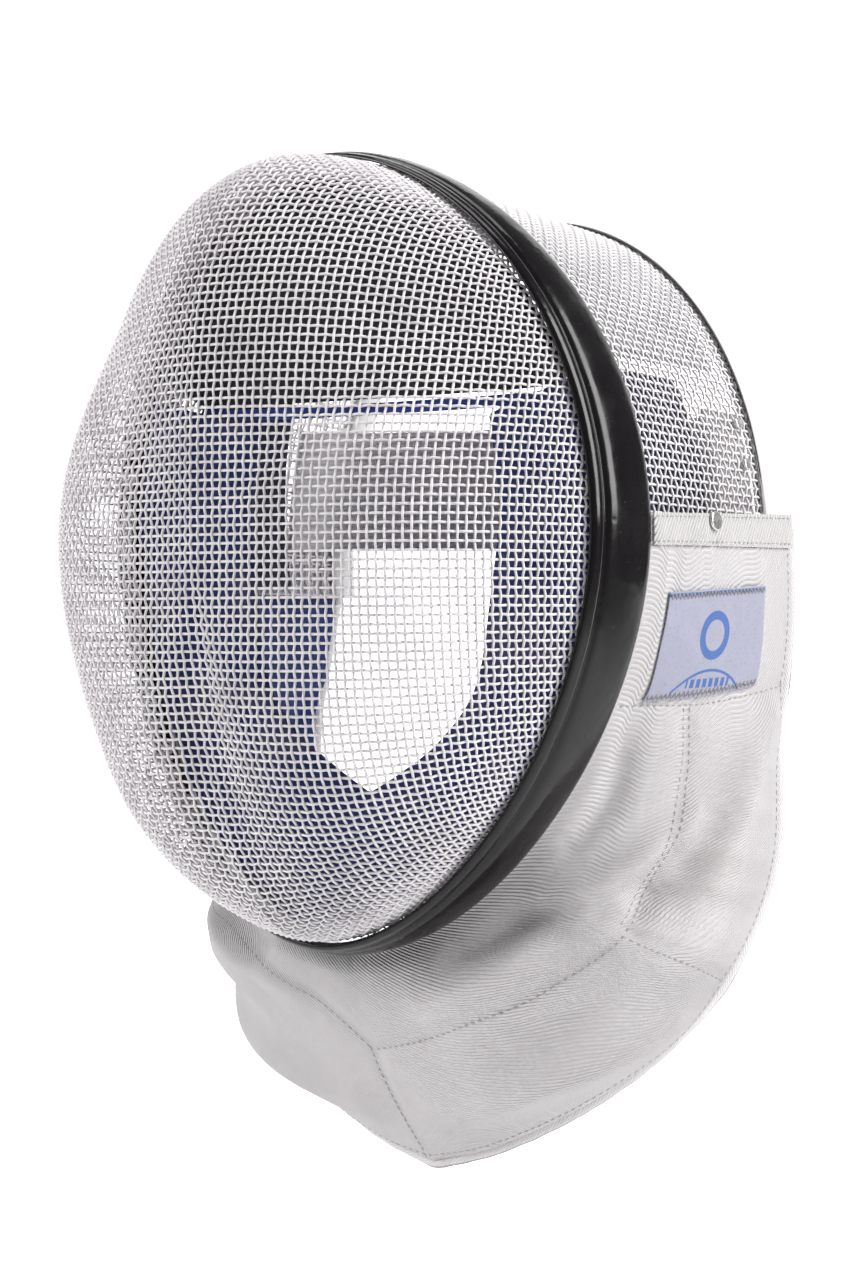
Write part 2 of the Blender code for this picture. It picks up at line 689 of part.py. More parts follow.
def build_head_strap():
    """The strap lies on the crown's inner wall at each end and crosses behind the head between them."""
    elastic = material("grey_elastic", (0.30, 0.30, 0.31), 0.8)
    steel = material("steel_strap_rivet", (0.62, 0.61, 0.60), 0.3, 1.0)
    wall = inset(crown_surface, MESH_WALL + GAP)
    fixed = 0.3

    def place(u, v):
        height = STRAP_LOW + STRAP_WIDTH * v
        if u <= fixed:
            across = STRAP_START + (STRAP_LEAVES - STRAP_START) * u / fixed
            return wall(wall_share(height, across), across)
        leaves = wall(wall_share(height, STRAP_LEAVES), STRAP_LEAVES)
        turn = math.pi / 2 * (u - fixed) / (1 - fixed)
        rear = CROWN_REAR + STRAP_SAG
        x = leaves.x * math.cos(turn) if u < 1 else 0.0
        return Vector((x, leaves.y + (rear - leaves.y) * math.sin(turn), leaves.z))

    sheet("head_strap", place, 13, 2, STRAP_WALL, elastic)
    for side, name in ((1, "left"), (-1, "right")):
        for share, level in zip(STRAP_RIVET_HEIGHTS, ("lower", "upper")):
            u = wall_share(STRAP_LOW + STRAP_WIDTH * share, STRAP_RIVET_AT)
            rivet(
                "strap_rivet_" + name + "_" + level,
                crown_surface, u, STRAP_RIVET_AT, side, STRAP_RIVET_RADIUS, steel,
            )


def main():
    clear_scene()
    parts = bpy.data.collections.new(NAME)
    bpy.context.scene.collection.children.link(parts)
    frame = bpy.data.objects.new("head_seat_frame", None)
    parts.objects.link(frame)
    seat = inset(crown_surface, MESH_WALL + SOFT_GAP + CROWN_PAD_WALL)(0, HEAD_SEAT_AT)
    frame.location = -seat
    build_front_mesh()
    build_crown_mesh()
    build_edge_trim()
    build_rear_channel()
    build_bib()
    build_binding()
    build_tapes()
    build_label()
    build_forehead_pad()
    build_face_pad()
    build_crown_lining()
    build_side_pads()
    build_head_strap()


main()
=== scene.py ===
"""Fencing mask, dressed: woven wire, moulded ring, quilted bib, linings, strap and a pale studio.

Shapes are laid out round the middle of the ring and then set down by SEAT, so that the origin is
where the head meets the crown lining. The wearer faces -Y and the wearer's left is +X. Metres.
"""

import math

import bpy
import numpy as np
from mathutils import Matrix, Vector


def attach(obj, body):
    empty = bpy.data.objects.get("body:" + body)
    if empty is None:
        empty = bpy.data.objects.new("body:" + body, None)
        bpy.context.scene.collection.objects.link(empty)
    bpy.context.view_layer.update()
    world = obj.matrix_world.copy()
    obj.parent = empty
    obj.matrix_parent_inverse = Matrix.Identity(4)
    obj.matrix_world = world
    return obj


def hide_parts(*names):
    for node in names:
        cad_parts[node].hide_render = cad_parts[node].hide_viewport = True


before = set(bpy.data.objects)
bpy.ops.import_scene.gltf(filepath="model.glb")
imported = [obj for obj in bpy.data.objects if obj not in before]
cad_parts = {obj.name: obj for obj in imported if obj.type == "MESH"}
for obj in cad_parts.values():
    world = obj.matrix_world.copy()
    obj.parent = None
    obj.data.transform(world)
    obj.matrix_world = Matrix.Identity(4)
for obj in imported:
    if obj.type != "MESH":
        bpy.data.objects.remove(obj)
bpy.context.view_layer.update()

# Ring and face mesh
RING_HALF_WIDTH, RING_HALF_HEIGHT, RING_TOP_FULLER, RING_ROUNDNESS, RING_BOW = 0.111, 0.140, 0.08, 1.9, 0.012
DOME_DEPTH, DOME_ROUNDNESS, DOME_CREASE, DOME_BROW = 0.082, 2.5, 0.40, 0.0026
DOME_FULLNESS = np.array((2.8, 2.3, 5.0, 4.0, 1.45))
SKIRT = 0.006
LEVEL = 0.004                   # height at which a weft wire lies level right across
WIRE_PITCH = 0.0031
WIRE_RADIUS = 0.00049
WIRE_SIDES = 5
MESH_MIDDLE = 0.0010            # the wires cross this far inside the outer face

# Moulded ring
TRIM_LAP, TRIM_WALL, TRIM_STAND, TRIM_STAND_TOP = 0.0035, 0.0022, 0.0048, 0.0030
TRIM_BAND_SIDE, TRIM_BAND_TOP, TRIM_BAND_CHIN = 0.027, 0.012, 0.018

# Crown
CROWN_HALF_WIDTH, CROWN_HEIGHT, CROWN_REAR, CROWN_ROUNDNESS, CROWN_END = 0.106, 0.1265, 0.1205, 2.05, 96.0
CROWN_FRONT = SKIRT + 0.001
MESH_WALL, GAP, SOFT_GAP = 0.002, 0.0003, 0.0005
CROWN_PAD_WALL, CROWN_PAD_ANGLE, CROWN_PAD_FRONT, CROWN_PAD_REAR, HEAD_SEAT_AT = 0.005, 58.0, 0.20, 0.86, 0.52

# Bib
BIB_WALL, BIB_TOP_ANGLE, BIB_REAR, BIB_HALF_WIDTH, BIB_DROP, BIB_BULGE = 0.004, 84.5, 0.1235, 0.1125, 0.2315, 0.018
BIB_SLACK = (0.0035, -0.008, 0.0)     # the soft right edge of the bib has moved this much out and forward
BINDING_RADIUS = 0.0026
BIB_SHARES = (0.00, 0.16, 0.32, 0.48, 0.62, 0.74, 0.85, 0.94, 1.00)
BIB_ROWS = {
    "width": (1.000, 1.000, 0.985, 0.975, 0.940, 0.860, 0.600, 0.260, 0.000),
    "depth": (0.992, 1.000, 0.965, 0.950, 0.800, 0.615, 0.490, 0.440, 0.425),
    "height": (0.060, -0.110, -0.300, -0.490, -0.645, -0.765, -0.880, -0.965, -1.000),
    "outward": (0.00, 0.03, 0.20, 0.74, 1.20, 1.25, 0.80, 0.36, 0.00),
    "forward": (0.00, 0.00, 0.04, 0.18, 0.46, 0.80, 0.92, 0.72, 0.60),
    "down": (0.00, 0.00, -0.06, -0.20, -0.34, -0.26, -0.12, 0.00, 0.00),
}
# Soft folds: side (1 wearer's left, -1 right, 0 both), half width, height, then shares round and across
BIB_FOLDS = (
    (0, 0.0075, -0.0030, ((0.50, 0.40), (0.52, 0.375), (0.607, 0.237), (0.680, 0.125), (0.793, 0.100))),
    (0, 0.0048, -0.0017, ((0.545, 0.425), (0.560, 0.405), (0.610, 0.375))),
    (0, 0.0070, 0.0026, ((0.44, 0.44), (0.460, 0.412), (0.533, 0.287), (0.587, 0.215), (0.64, 0.12))),
    (0, 0.0080, 0.0024, ((0.600, 0.290), (0.693, 0.205), (0.807, 0.225), (0.900, 0.250))),
    (0, 0.0120, -0.0026, ((0.867, 0.575), (0.767, 0.575), (0.673, 0.688))),
    (0, 0.0110, 0.0024, ((0.953, 0.762), (0.840, 0.762), (0.727, 0.860))),
    (0, 0.0070, -0.0026, ((0.427, 0.613), (0.480, 0.525), (0.547, 0.470))),
    (0, 0.0100, 0.0026, ((0.300, 0.900), (0.393, 0.700), (0.470, 0.585), (0.540, 0.540))),
    (0, 0.0060, -0.0018, ((0.33, 0.10), (0.43, 0.12), (0.52, 0.06))),
    (-1, 0.0090, 0.0013, ((0.740, 0.075), (0.893, 0.050), (0.970, 0.080))),
    (-1, 0.0100, -0.0013, ((0.820, 0.225), (0.913, 0.487))),
)
FOLD_STRENGTH = 2.8
GROOVE_DEPTH, GROOVE_HALF_WIDTH, PADDING_RISE, PADDING_SPREAD = 0.0009, 0.0024, 0.0012, 0.012
LIGHTLY_SEWN, LIGHT_SEWING = ("upright", "yoke"), 0.45
LINING_WALL, LINING_AIR = 0.0012, 0.0006
# Sewn seams: side, then shares round and across
BIB_SEAMS = {
    "throat": (1, ((1.00, 0.430), (0.94, 0.412), (0.867, 0.380), (0.807, 0.372), (0.733, 0.345), (0.627, 0.362))),
    "far_throat": (-1, ((1.00, 0.430), (0.967, 0.312), (0.913, 0.213), (0.813, 0.163), (0.713, 0.165), (0.6, 0.3))),
    "side": (0, ((0.627, 0.362), (0.633, 0.700), (0.645, 0.985))),
    "centre": (1, ((1.00, 0.430), (1.00, 0.700), (1.00, 0.985))),
    "yoke": (0, ((0.300, 0.013), (0.289, 0.225), (0.280, 0.450), (0.262, 0.725), (0.243, 0.985))),
    "upright": (0, ((0.287, 0.375), (0.360, 0.410), (0.467, 0.375), (0.540, 0.375), (0.627, 0.362))),
}

# Label, tape, pads, strap
LABEL_WIDTH, LABEL_HEIGHT, LABEL_FROM_RING, LABEL_DROP, LABEL_RISE, LABEL_SPREAD = (
    0.059, 0.0405, 0.0112, 0.031, 0.004, 0.006)
LABEL_WALL, LABEL_LIFT = 0.0007, 0.00125
TAPE_WIDTH, TAPE_WALL, TAPE_RIVET_AT, TAPE_RIVET_DROP, TAPE_RIVET_RADIUS = 0.0126, 0.0012, 0.415, 0.24, 0.0035
PAD_WALL, BROW_HEIGHT, BROW_SET_BACK, BROW_END_ANGLE = 0.008, 0.055, 0.014, 59.0
BROW_EDGE_GAP, BROW_END_GAP, PIPING_RADIUS, PIPING_GAP = 0.0034, 0.0100, 0.0022, 0.0016
FACE_START_ANGLE, FACE_SET_BACK, FACE_HALF_WIDTH, FACE_DROP, FACE_EDGE_GAP = 64.0, 0.010, 0.074, 0.086, 0.0022
FACE_SHARES = (0.00, 0.22, 0.42, 0.60, 0.76, 0.90, 1.00)
FACE_ROWS = {
    "width": (0.74, 0.80, 0.75, 0.66, 0.45, 0.20, 0.00),
    "height": (0.560, 0.180, -0.200, -0.560, -0.770, -0.910, -1.000),
}
SIDE_PAD_TOP, SIDE_PAD_LOW, SIDE_PAD_WALL = 0.0645, -0.012, 0.005
SIDE_PAD_FRONT, SIDE_PAD_REAR = (0.050, 0.20), (0.660, 0.58)
STRAP_WALL, STRAP_WIDTH, STRAP_LOW, STRAP_START, STRAP_LEAVES, STRAP_SAG = 0.0018, 0.0485, 0.004, 0.68, 0.845, 0.012
STRAP_RIVET_RADIUS, STRAP_RIVET_AT, STRAP_RIVET_HEIGHTS = 0.0022, 0.83, (0.575, 0.881)
MIRROR = np.array((-1.0, 1.0, 1.0))
SIDES = ((1, "left"), (-1, "right"))
# How the soft pieces round off towards their edges
THICK_PAD = {"radius": 0.0045, "least": 0.12, "smooth": 60.0}
THIN_PAD = {"radius": 0.0030, "least": 0.15, "smooth": 60.0}


def unit(v):
    return v / np.maximum(np.linalg.norm(v, axis=-1, keepdims=True), 1e-12)


def signed_power(value, exponent):
    return np.sign(value) * np.abs(value) ** exponent


def run_along(line):
    """Distance from a line's start at each of its points."""
    return np.concatenate([[0], np.cumsum(np.linalg.norm(np.diff(line, axis=0), axis=1))])


def read_at(at, run, line):
    """Rows of a line, read at distances along it."""
    return np.stack([np.interp(at, run, line[:, k]) for k in range(line.shape[1])], -1)


def spread(u_first, u_last, columns, v_first, v_last, rows):
    """Shares u down the columns and v along the rows of a grid."""
    return np.broadcast_arrays(np.linspace(u_first, u_last, columns)[:, None],
                               np.linspace(v_first, v_last, rows)[None, :])


def pair(u, v):
    return np.broadcast_arrays(np.asarray(u, float), np.asarray(v, float))


def fold_over(u):
    """Share from the ear to the chin, and the side, for a u that runs on from 1 to 2 up the other side."""
    return np.where(u > 1, 2 - u, u), np.where(u > 1, -1.0, 1.0)


def hermite(shares, values, at):
    """Smooth curve through a table's values."""
    shares, values, at = np.asarray(shares), np.asarray(values), np.clip(np.asarray(at, float), 0, 1)
    last = len(shares) - 1
    i = np.clip(np.searchsorted(shares, at, side="left") - 1, 0, last - 1)
    before, after = np.maximum(i - 1, 0), np.minimum(i + 2, last)
    run = shares[i + 1] - shares[i]
    t = (at - shares[i]) / run
    slope_in = (values[i + 1] - values[before]) / (shares[i + 1] - shares[before])
    slope_out = (values[after] - values[i]) / (shares[after] - shares[i])
    t2, t3 = t * t, t * t * t
    return ((2 * t3 - 3 * t2 + 1) * values[i] + (t3 - 2 * t2 + t) * run * slope_in
            + (3 * t2 - 2 * t3) * values[i + 1] + (t3 - t2) * run * slope_out)


def rim(angle, out=0.0, back=0.0):
    """Points of the ring's oval and its outward normals, angle in degrees from the top towards +X."""
    angle = np.asarray(angle, float)

    def flat(degrees):
        turn = np.radians(degrees)
        tall = signed_power(np.round(np.cos(turn), 12), 2 / RING_ROUNDNESS)
        wide = signed_power(np.round(np.sin(turn), 12), 2 / RING_ROUNDNESS)
        half_width = RING_HALF_WIDTH * wide * (1 + RING_TOP_FULLER * tall)
        return np.stack([half_width, 0 * wide, RING_HALF_HEIGHT * tall], -1)

    here = flat(angle)
    run = flat(angle + 0.5) - flat(angle - 0.5)
    normal = unit(np.stack([-run[..., 2], 0 * run[..., 0], run[..., 0]], -1))
    point = here + normal * np.asarray(out)[..., None]
    point[..., 1] = back - RING_BOW * (here[..., 2] / RING_HALF_HEIGHT) ** 2
    return point, normal


def band_width(angle):
    side = np.sin(np.radians(angle)) ** 2
    end = np.where(np.cos(np.radians(angle)) > 0, TRIM_BAND_TOP, TRIM_BAND_CHIN)
    return end + (TRIM_BAND_SIDE - end) * side


def band_stand(angle):
    top = np.maximum(np.cos(np.radians(angle)), 0) ** 2
    return TRIM_STAND + (TRIM_STAND_TOP - TRIM_STAND) * top


def crown(u, v):
    """Outer face of the crown mesh: u from -1 at the right ear over the top to 1, v from ring to rear."""
    u, v = pair(u, v)
    turn = np.radians(CROWN_END * u)
    front = rim(CROWN_END * u, 0.0, CROWN_FRONT)[0]
    wide = signed_power(np.sin(turn), 2 / CROWN_ROUNDNESS)
    tall = signed_power(np.cos(turn), 2 / CROWN_ROUNDNESS)
    rear = np.stack([CROWN_HALF_WIDTH * wide, CROWN_REAR + 0 * u, CROWN_HEIGHT * tall], -1)
    return front + (rear - front) * v[..., None]


def surface_normal(surface, u, v, step=1e-3):
    """Outward normals of a surface whose u runs down the left side and whose v runs back."""
    u, v = pair(u, v)
    low_v, high_v = np.maximum(v - step, 0), np.minimum(v + step, 1)
    run_u = surface(u + step, v) - surface(u - step, v)
    run_v = surface(u, high_v) - surface(u, low_v)
    return unit(np.cross(run_u, run_v))


SEAT = (crown(0.0, HEAD_SEAT_AT)
        - surface_normal(crown, 0.0, HEAD_SEAT_AT) * (MESH_WALL + SOFT_GAP + CROWN_PAD_WALL))


def bib(u, v):
    """Outer face of the plain bib: u from 0 at the left ear to 1 at the chin and on to 2 at the right ear."""
    u, v = pair(u, v)
    share, side = fold_over(u)
    share = np.clip(share, 0, 1)
    angle = BIB_TOP_ANGLE + (180 - BIB_TOP_ANGLE) * share
    start = rim(angle, SOFT_GAP + BIB_WALL, band_width(angle) + GAP)[0]
    row = {name: hermite(BIB_SHARES, values, share) for name, values in BIB_ROWS.items()}
    end = np.stack([BIB_HALF_WIDTH * row["width"], BIB_REAR * row["depth"], BIB_DROP * row["height"]], -1)
    slack = np.where(side < 0, np.sin(math.pi * np.clip((share - 0.04) / 0.62, 0, 1)) ** 2, 0)
    end = end + slack[..., None] * np.array(BIB_SLACK)
    length = np.linalg.norm(end - start, axis=-1)
    reach = v * (1 - (2 * BINDING_RADIUS + GAP) / length)
    swell = BIB_BULGE * 4 * reach * (1 - reach) * (1 + 0.6 * (0.5 - reach))
    bulge = np.stack([row["outward"], -row["forward"], row["down"]], -1)
    point = start + (end - start) * reach[..., None] + bulge * swell[..., None]
    point[..., 0] *= side
    return point


def fall(share):
    """Share of the bib round, for a height below its top edge at the ear."""
    return share / (BIB_DROP * (BIB_ROWS["height"][0] - BIB_ROWS["height"][1]) / BIB_SHARES[1])


def curve_through(shares, side=1, step=0.0012):
    """Evenly spaced shares on a smooth line through rows of shares on the bib."""
    rows = np.array(shares, float)
    if side < 0:
        rows[:, 0] = 2 - rows[:, 0]
    place = bib(rows[:, 0], rows[:, 1])
    run = run_along(place)
    at = np.linspace(0, 1, 240)
    fine = np.stack([hermite(run / run[-1], rows[:, k], at) for k in (0, 1)], -1)
    run = run_along(bib(fine[:, 0], fine[:, 1]))
    return read_at(np.linspace(0, run[-1], max(int(run[-1] / step), 2)), run, fine)


def distance_to(points, line):
    """Distance of each point to the nearest point of a line, and that point's share along it."""
    flat = points.reshape(-1, 3)
    best, share = np.full(len(flat), 1e9), np.zeros(len(flat))
    for k, place in enumerate(line):
        gap = ((flat - place) ** 2).sum(-1)
        nearer = gap < best
        best[nearer], share[nearer] = gap[nearer], k / max(len(line) - 1, 1)
    return np.sqrt(best).reshape(points.shape[:-1]), share.reshape(points.shape[:-1])


def sides_of(side):
    return (1, -1) if side == 0 else (side,)


SEAM_STITCHES = {
    "throat": (0.0019,), "far_throat": (-0.0019,), "side": (0.0018,), "centre": (0.0017,), "yoke": (0.0009,),
    "upright": (-0.0016, 0.0016),
}
SEAM_LINES = [
    (name, curve_through(rows, s)) for name, (side, rows) in BIB_SEAMS.items() for s in sides_of(side)
]
FOLD_LINES = [
    (half_width, height, curve_through(rows, s, 0.002))
    for side, half_width, height, rows in BIB_FOLDS for s in sides_of(side)
]


def bib_relief(points, u, v):
    """Height of folds, sewn channels and padding over the plain bib."""
    height = np.zeros(points.shape[:-1])
    for half_width, rise, line in FOLD_LINES:
        gap, share = distance_to(points, bib(line[:, 0], line[:, 1]))
        height += FOLD_STRENGTH * rise * np.exp(-((gap / half_width) ** 2)) * np.sin(math.pi * (0.16 + 0.68 * share))
    nearest, groove = np.full(points.shape[:-1], 1.0), np.zeros(points.shape[:-1])
    for name, line in SEAM_LINES:
        gap = distance_to(points, bib(line[:, 0], line[:, 1]))[0]
        weight = LIGHT_SEWING if name in LIGHTLY_SEWN else 1.0
        groove = np.maximum(groove, weight * np.exp(-((gap / GROOVE_HALF_WIDTH) ** 2)))
        nearest = np.minimum(nearest, gap / weight)
    height += PADDING_RISE * (1 - np.exp(-((nearest / PADDING_SPREAD) ** 2))) - GROOVE_DEPTH * groove
    share = fold_over(u)[0]
    calm = np.minimum(np.minimum(v / 0.10, (1 - v) / 0.07), np.minimum(share / 0.07, 1))
    return height * np.clip(calm, 0, 1)


def bib_grid(columns, rows):
    u, v = spread(0, 2, columns, 0, 1, rows)
    plain = bib(u, v)
    return plain + grid_normal(plain) * bib_relief(plain, u, v)[..., None]


def grid_normal(points):
    return unit(np.cross(np.gradient(points, axis=0), np.gradient(points, axis=1)))


def smooth_rows(values, times):
    """Evens out a grid of values, with its edges kept."""
    for _ in range(times):
        inner = values[1:-1, 1:-1]
        around = values[:-2, 1:-1] + values[2:, 1:-1] + values[1:-1, :-2] + values[1:-1, 2:]
        values = values.copy()
        values[1:-1, 1:-1] = 0.5 * inner + 0.125 * around
    return values


def lengths(points, axis):
    step = np.linalg.norm(np.diff(points, axis=axis), axis=-1)
    pad = [(1, 0) if k == axis else (0, 0) for k in range(2)]
    return np.pad(np.cumsum(step, axis=axis), pad)


# Meshes


def piece(name, verts, groups, uv=None, smooth=40.0):
    """A closed mesh from corner places round the ring's middle, put down in the mask's own frame.

    groups holds arrays of faces, each array with faces of one number of corners.
    """
    volume = 0.0
    for faces in groups:
        first = verts[faces[:, 0]]
        for k in range(1, faces.shape[1] - 1):
            volume += (np.cross(first, verts[faces[:, k]]) * verts[faces[:, k + 1]]).sum()
    if volume < 0:
        groups = [faces[:, ::-1] for faces in groups]
    corners = np.concatenate([faces.ravel() for faces in groups]).astype(np.int32)
    sizes = np.concatenate([np.full(len(faces), faces.shape[1]) for faces in groups])
    mesh = bpy.data.meshes.new(name)
    mesh.vertices.add(len(verts))
    mesh.vertices.foreach_set("co", (np.asarray(verts) - SEAT).astype(np.float32).ravel())
    mesh.loops.add(len(corners))
    mesh.loops.foreach_set("vertex_index", corners)
    mesh.polygons.add(len(sizes))
    mesh.polygons.foreach_set("loop_start", (np.cumsum(sizes) - sizes).astype(np.int32))
    mesh.update(calc_edges=True)
    if uv is not None:
        layer = mesh.uv_layers.new(name="cloth")
        layer.data.foreach_set("uv", np.asarray(uv, dtype=np.float32)[corners].ravel())
    if mesh.validate():
        print("mended", name)
    thing = bpy.data.objects.new(name, mesh)
    bpy.context.scene.collection.objects.link(thing)
    mesh.polygons.foreach_set("use_smooth", np.ones(len(mesh.polygons), dtype=bool))
    if smooth is not None:
        pick(thing)
        bpy.ops.object.shade_smooth_by_angle(angle=math.radians(smooth))
    return thing


def pick(thing):
    bpy.ops.object.select_all(action="DESELECT")
    thing.select_set(True)
    bpy.context.view_layer.objects.active = thing


def loft(name, rings, closed=False, uv=None, smooth=40.0):
    """Closed sections, each a loop of the same number of points, joined along a path."""
    count, around = rings.shape[:2]
    index = np.arange(count * around).reshape(count, around)
    ahead = np.roll(index, -1, axis=0) if closed else index[1:]
    here = index if closed else index[:-1]
    groups = [np.stack([here, ahead, np.roll(ahead, -1, axis=1), np.roll(here, -1, axis=1)], -1).reshape(-1, 4)]
    if not closed:
        k = np.arange(around // 2 - 1)
        for end, turn in ((0, 1), (count - 1, -1)):
            ring = index[end]
            cap = np.stack([ring[k], ring[k + 1], ring[around - 2 - k], ring[around - 1 - k]], -1)
            groups.append(cap[:, ::turn])
    return piece(name, rings.reshape(-1, 3), groups, uv, smooth)


def edge_fall(distance, radius, least):
    """Share of full thickness left at a distance from an edge that is rounded over a radius."""
    t = np.clip(distance / radius, 0, 1)
    return least + (1 - least) * np.sqrt(np.clip(1 - (1 - t) ** 2, 0, 1))


def slab(name, outer, wall, radius=None, least=0.15, smooth=40.0, puff=None, full_start=False):
    """A wall of cloth from its outer grid: it thins towards its edges, and its back follows its front.

    Its cloth map runs across the grid in u and along it in v, in metres. With full_start its first
    column keeps the full thickness.
    """
    normal = grid_normal(outer)
    across, along = lengths(outer, 1), lengths(outer, 0)
    from_start = 1.0 if full_start else across
    edge = np.minimum.reduce(np.broadcast_arrays(from_start, across[:, -1:] - across, along, along[-1:] - along))
    along = along - along[len(along) // 2]
    left = edge_fall(edge, radius or abs(wall) * 0.6, least)[..., None]
    middle = outer - normal * (wall / 2)
    half = normal * (wall / 2) * left
    front = middle + half + (0 if puff is None else normal * puff[..., None] * left)
    rings = np.concatenate([front, (middle - half)[:, ::-1]], axis=1)
    uv = np.stack([across, along], -1)
    coords = np.concatenate([uv, uv[:, ::-1]], axis=1).reshape(-1, 2)
    return loft(name, rings, uv=coords, smooth=smooth)


def tubes(name, paths, sides, smooth=None):
    """Round threads or wires. Each path holds its points, the way up, and its half height and half width."""
    verts, walls, caps, coords, base = [], [], [], [], 0
    turn = 2 * math.pi * np.arange(sides) / sides
    for points, up, high, wide in paths:
        run = unit(np.gradient(points, axis=0))
        side = unit(np.cross(run, up))
        lift = np.cross(side, run)
        high, wide = (np.broadcast_to(np.asarray(h, float), len(points))[:, None, None] for h in (high, wide))
        ring = (points[:, None] + high * np.cos(turn)[None, :, None] * lift[:, None]
                + wide * np.sin(turn)[None, :, None] * side[:, None])
        n = len(points)
        index = base + np.arange(n * sides).reshape(n, sides)
        wall = np.stack([index[:-1], np.roll(index[:-1], -1, 1), np.roll(index[1:], -1, 1), index[1:]], -1)
        walls.append(wall.reshape(-1, 4))
        caps.append(np.stack([index[0][::-1], index[-1]]))
        verts.append(ring.reshape(-1, 3))
        along = run_along(points)
        girth = np.arange(sides) * 2 * math.pi * float(wide.mean()) / sides
        coords.append(np.stack(np.broadcast_arrays(girth[None, :], along[:, None]), -1).reshape(-1, 2))
        base += n * sides
    verts, coords = np.concatenate(verts), np.concatenate(coords)
    return piece(name, verts, [np.concatenate(walls), np.concatenate(caps)], coords, smooth)


class Sampler:
    """Reads places and outward normals off a grid whose shares run from 0 to u_most and from 0 to 1."""

    def __init__(self, grid, u_most):
        self.grid, self.normal, self.u_most = grid, grid_normal(grid), u_most

    def at(self, u, v, lift=0.0):
        rows, columns = self.grid.shape[0] - 1, self.grid.shape[1] - 1
        a = np.clip(np.asarray(u, float) / self.u_most * rows, 0, rows - 1e-6)
        b = np.clip(np.asarray(v, float) * columns, 0, columns - 1e-6)
        i, j = a.astype(int), b.astype(int)
        s, t = (a - i)[..., None], (b - j)[..., None]

        def read(field):
            return ((field[i, j] * (1 - s) + field[i + 1, j] * s) * (1 - t)
                    + (field[i, j + 1] * (1 - s) + field[i + 1, j + 1] * s) * t)

        normal = unit(read(self.normal))
        return read(self.grid) + normal * np.asarray(lift)[..., None], normal


def stitches(name, seams, length, space, radius, sides=5):
    """Threads laid as short rounded stitches. Each seam holds places and normals, evenly spaced along it."""
    paths = []
    shape = np.linspace(-1, 1, 6)
    for points, normal in seams:
        run = run_along(points)
        for start in np.arange(space / 2, run[-1] - length, length + space):
            at = start + (shape + 1) / 2 * length
            middle, up = read_at(at, run, points), unit(read_at(at, run, normal))
            rise = (1 - shape ** 4) * radius * 1.5 - radius * 0.9
            size = radius * np.sqrt(np.clip(1.15 - shape ** 4, 0.15, 1))
            paths.append((middle + up * rise[:, None], up, size, size))
    return tubes(name, paths, sides)


# Woven wire


def fullness(wide, tall):
    turn = np.arctan2(np.abs(wide), tall) / (math.pi / 4)
    at = np.clip(np.floor(turn), 0, 3).astype(int)
    t = turn - at
    t = t * t * (3 - 2 * t)
    return DOME_FULLNESS[at] * (1 - t) + DOME_FULLNESS[at + 1] * t


def dome_shares(points):
    """Places as shares of the dome's half width, half height and depth."""
    x, y, z = points[..., 0], points[..., 1], points[..., 2]
    tall = z / RING_HALF_HEIGHT
    for _ in range(4):
        front = np.clip((-y - RING_BOW * tall ** 2) / DOME_DEPTH, 0, 1)
        tall = (z - DOME_BROW * 4 * front * (1 - front) * np.maximum(tall, 0) ** 2) / RING_HALF_HEIGHT
    front = (-y - RING_BOW * tall ** 2) / DOME_DEPTH
    return np.abs(x) / (RING_HALF_WIDTH * (1 + RING_TOP_FULLER * tall)), tall, front


def dome_gauge(points):
    """Nought on the face mesh, less inside it and more outside."""
    wide, tall, front = dome_shares(points)
    out = np.maximum((wide ** RING_ROUNDNESS + np.abs(tall) ** RING_ROUNDNESS) ** (1 / RING_ROUNDNESS), 1e-9)
    front = np.maximum(front, 0)
    return out ** fullness(wide, tall) + front ** DOME_ROUNDNESS + DOME_CREASE * wide * front - 1


def dome_slope(points, step=1e-6):
    here = dome_gauge(points)
    return np.stack([(dome_gauge(points + step * np.eye(3)[k]) - here) / step for k in range(3)], -1)


def next_crossing(a, b, c):
    """The place on the dome that lies one pitch from both a and b, across from c."""
    point = a + b - c
    scale = 1e-3
    for _ in range(10):
        from_a, from_b = point - a, point - b
        miss = np.stack([(from_a ** 2).sum(-1) - WIRE_PITCH ** 2, (from_b ** 2).sum(-1) - WIRE_PITCH ** 2,
                         dome_gauge(point) * scale], -1)
        pull = np.stack([2 * from_a, 2 * from_b, dome_slope(point) * scale], -2) + np.eye(3) * 1e-12
        move = np.linalg.solve(pull, -miss[..., None])[..., 0]
        size = np.linalg.norm(move, axis=-1, keepdims=True)
        point = point + move * np.minimum(1, WIRE_PITCH * 0.5 / np.maximum(size, 1e-12))
    off = np.maximum(np.abs(np.linalg.norm(point - a, axis=-1) - WIRE_PITCH),
                     np.abs(np.linalg.norm(point - b, axis=-1) - WIRE_PITCH))
    point[(off > WIRE_PITCH * 0.02) | (np.abs(dome_gauge(point)) > 1e-2)] = np.nan
    return point


def even_points(line, count):
    run = run_along(line)
    at = WIRE_PITCH * np.arange(count)
    points = read_at(at, run, line)
    points[at > run[-1]] = np.nan
    return points


def with_skirt(line):
    """The line, carried on straight back from the rim."""
    return np.concatenate([line, line[-1] + np.outer(np.arange(1, 6), (0, 0.002, 0))])


def fine_shares():
    """Shares from 0 to 1, closest near 1, where the dome turns back."""
    return np.concatenate([np.linspace(0, 0.9, 400), 1 - 0.1 * np.linspace(1, 0, 800)[1:] ** 3])


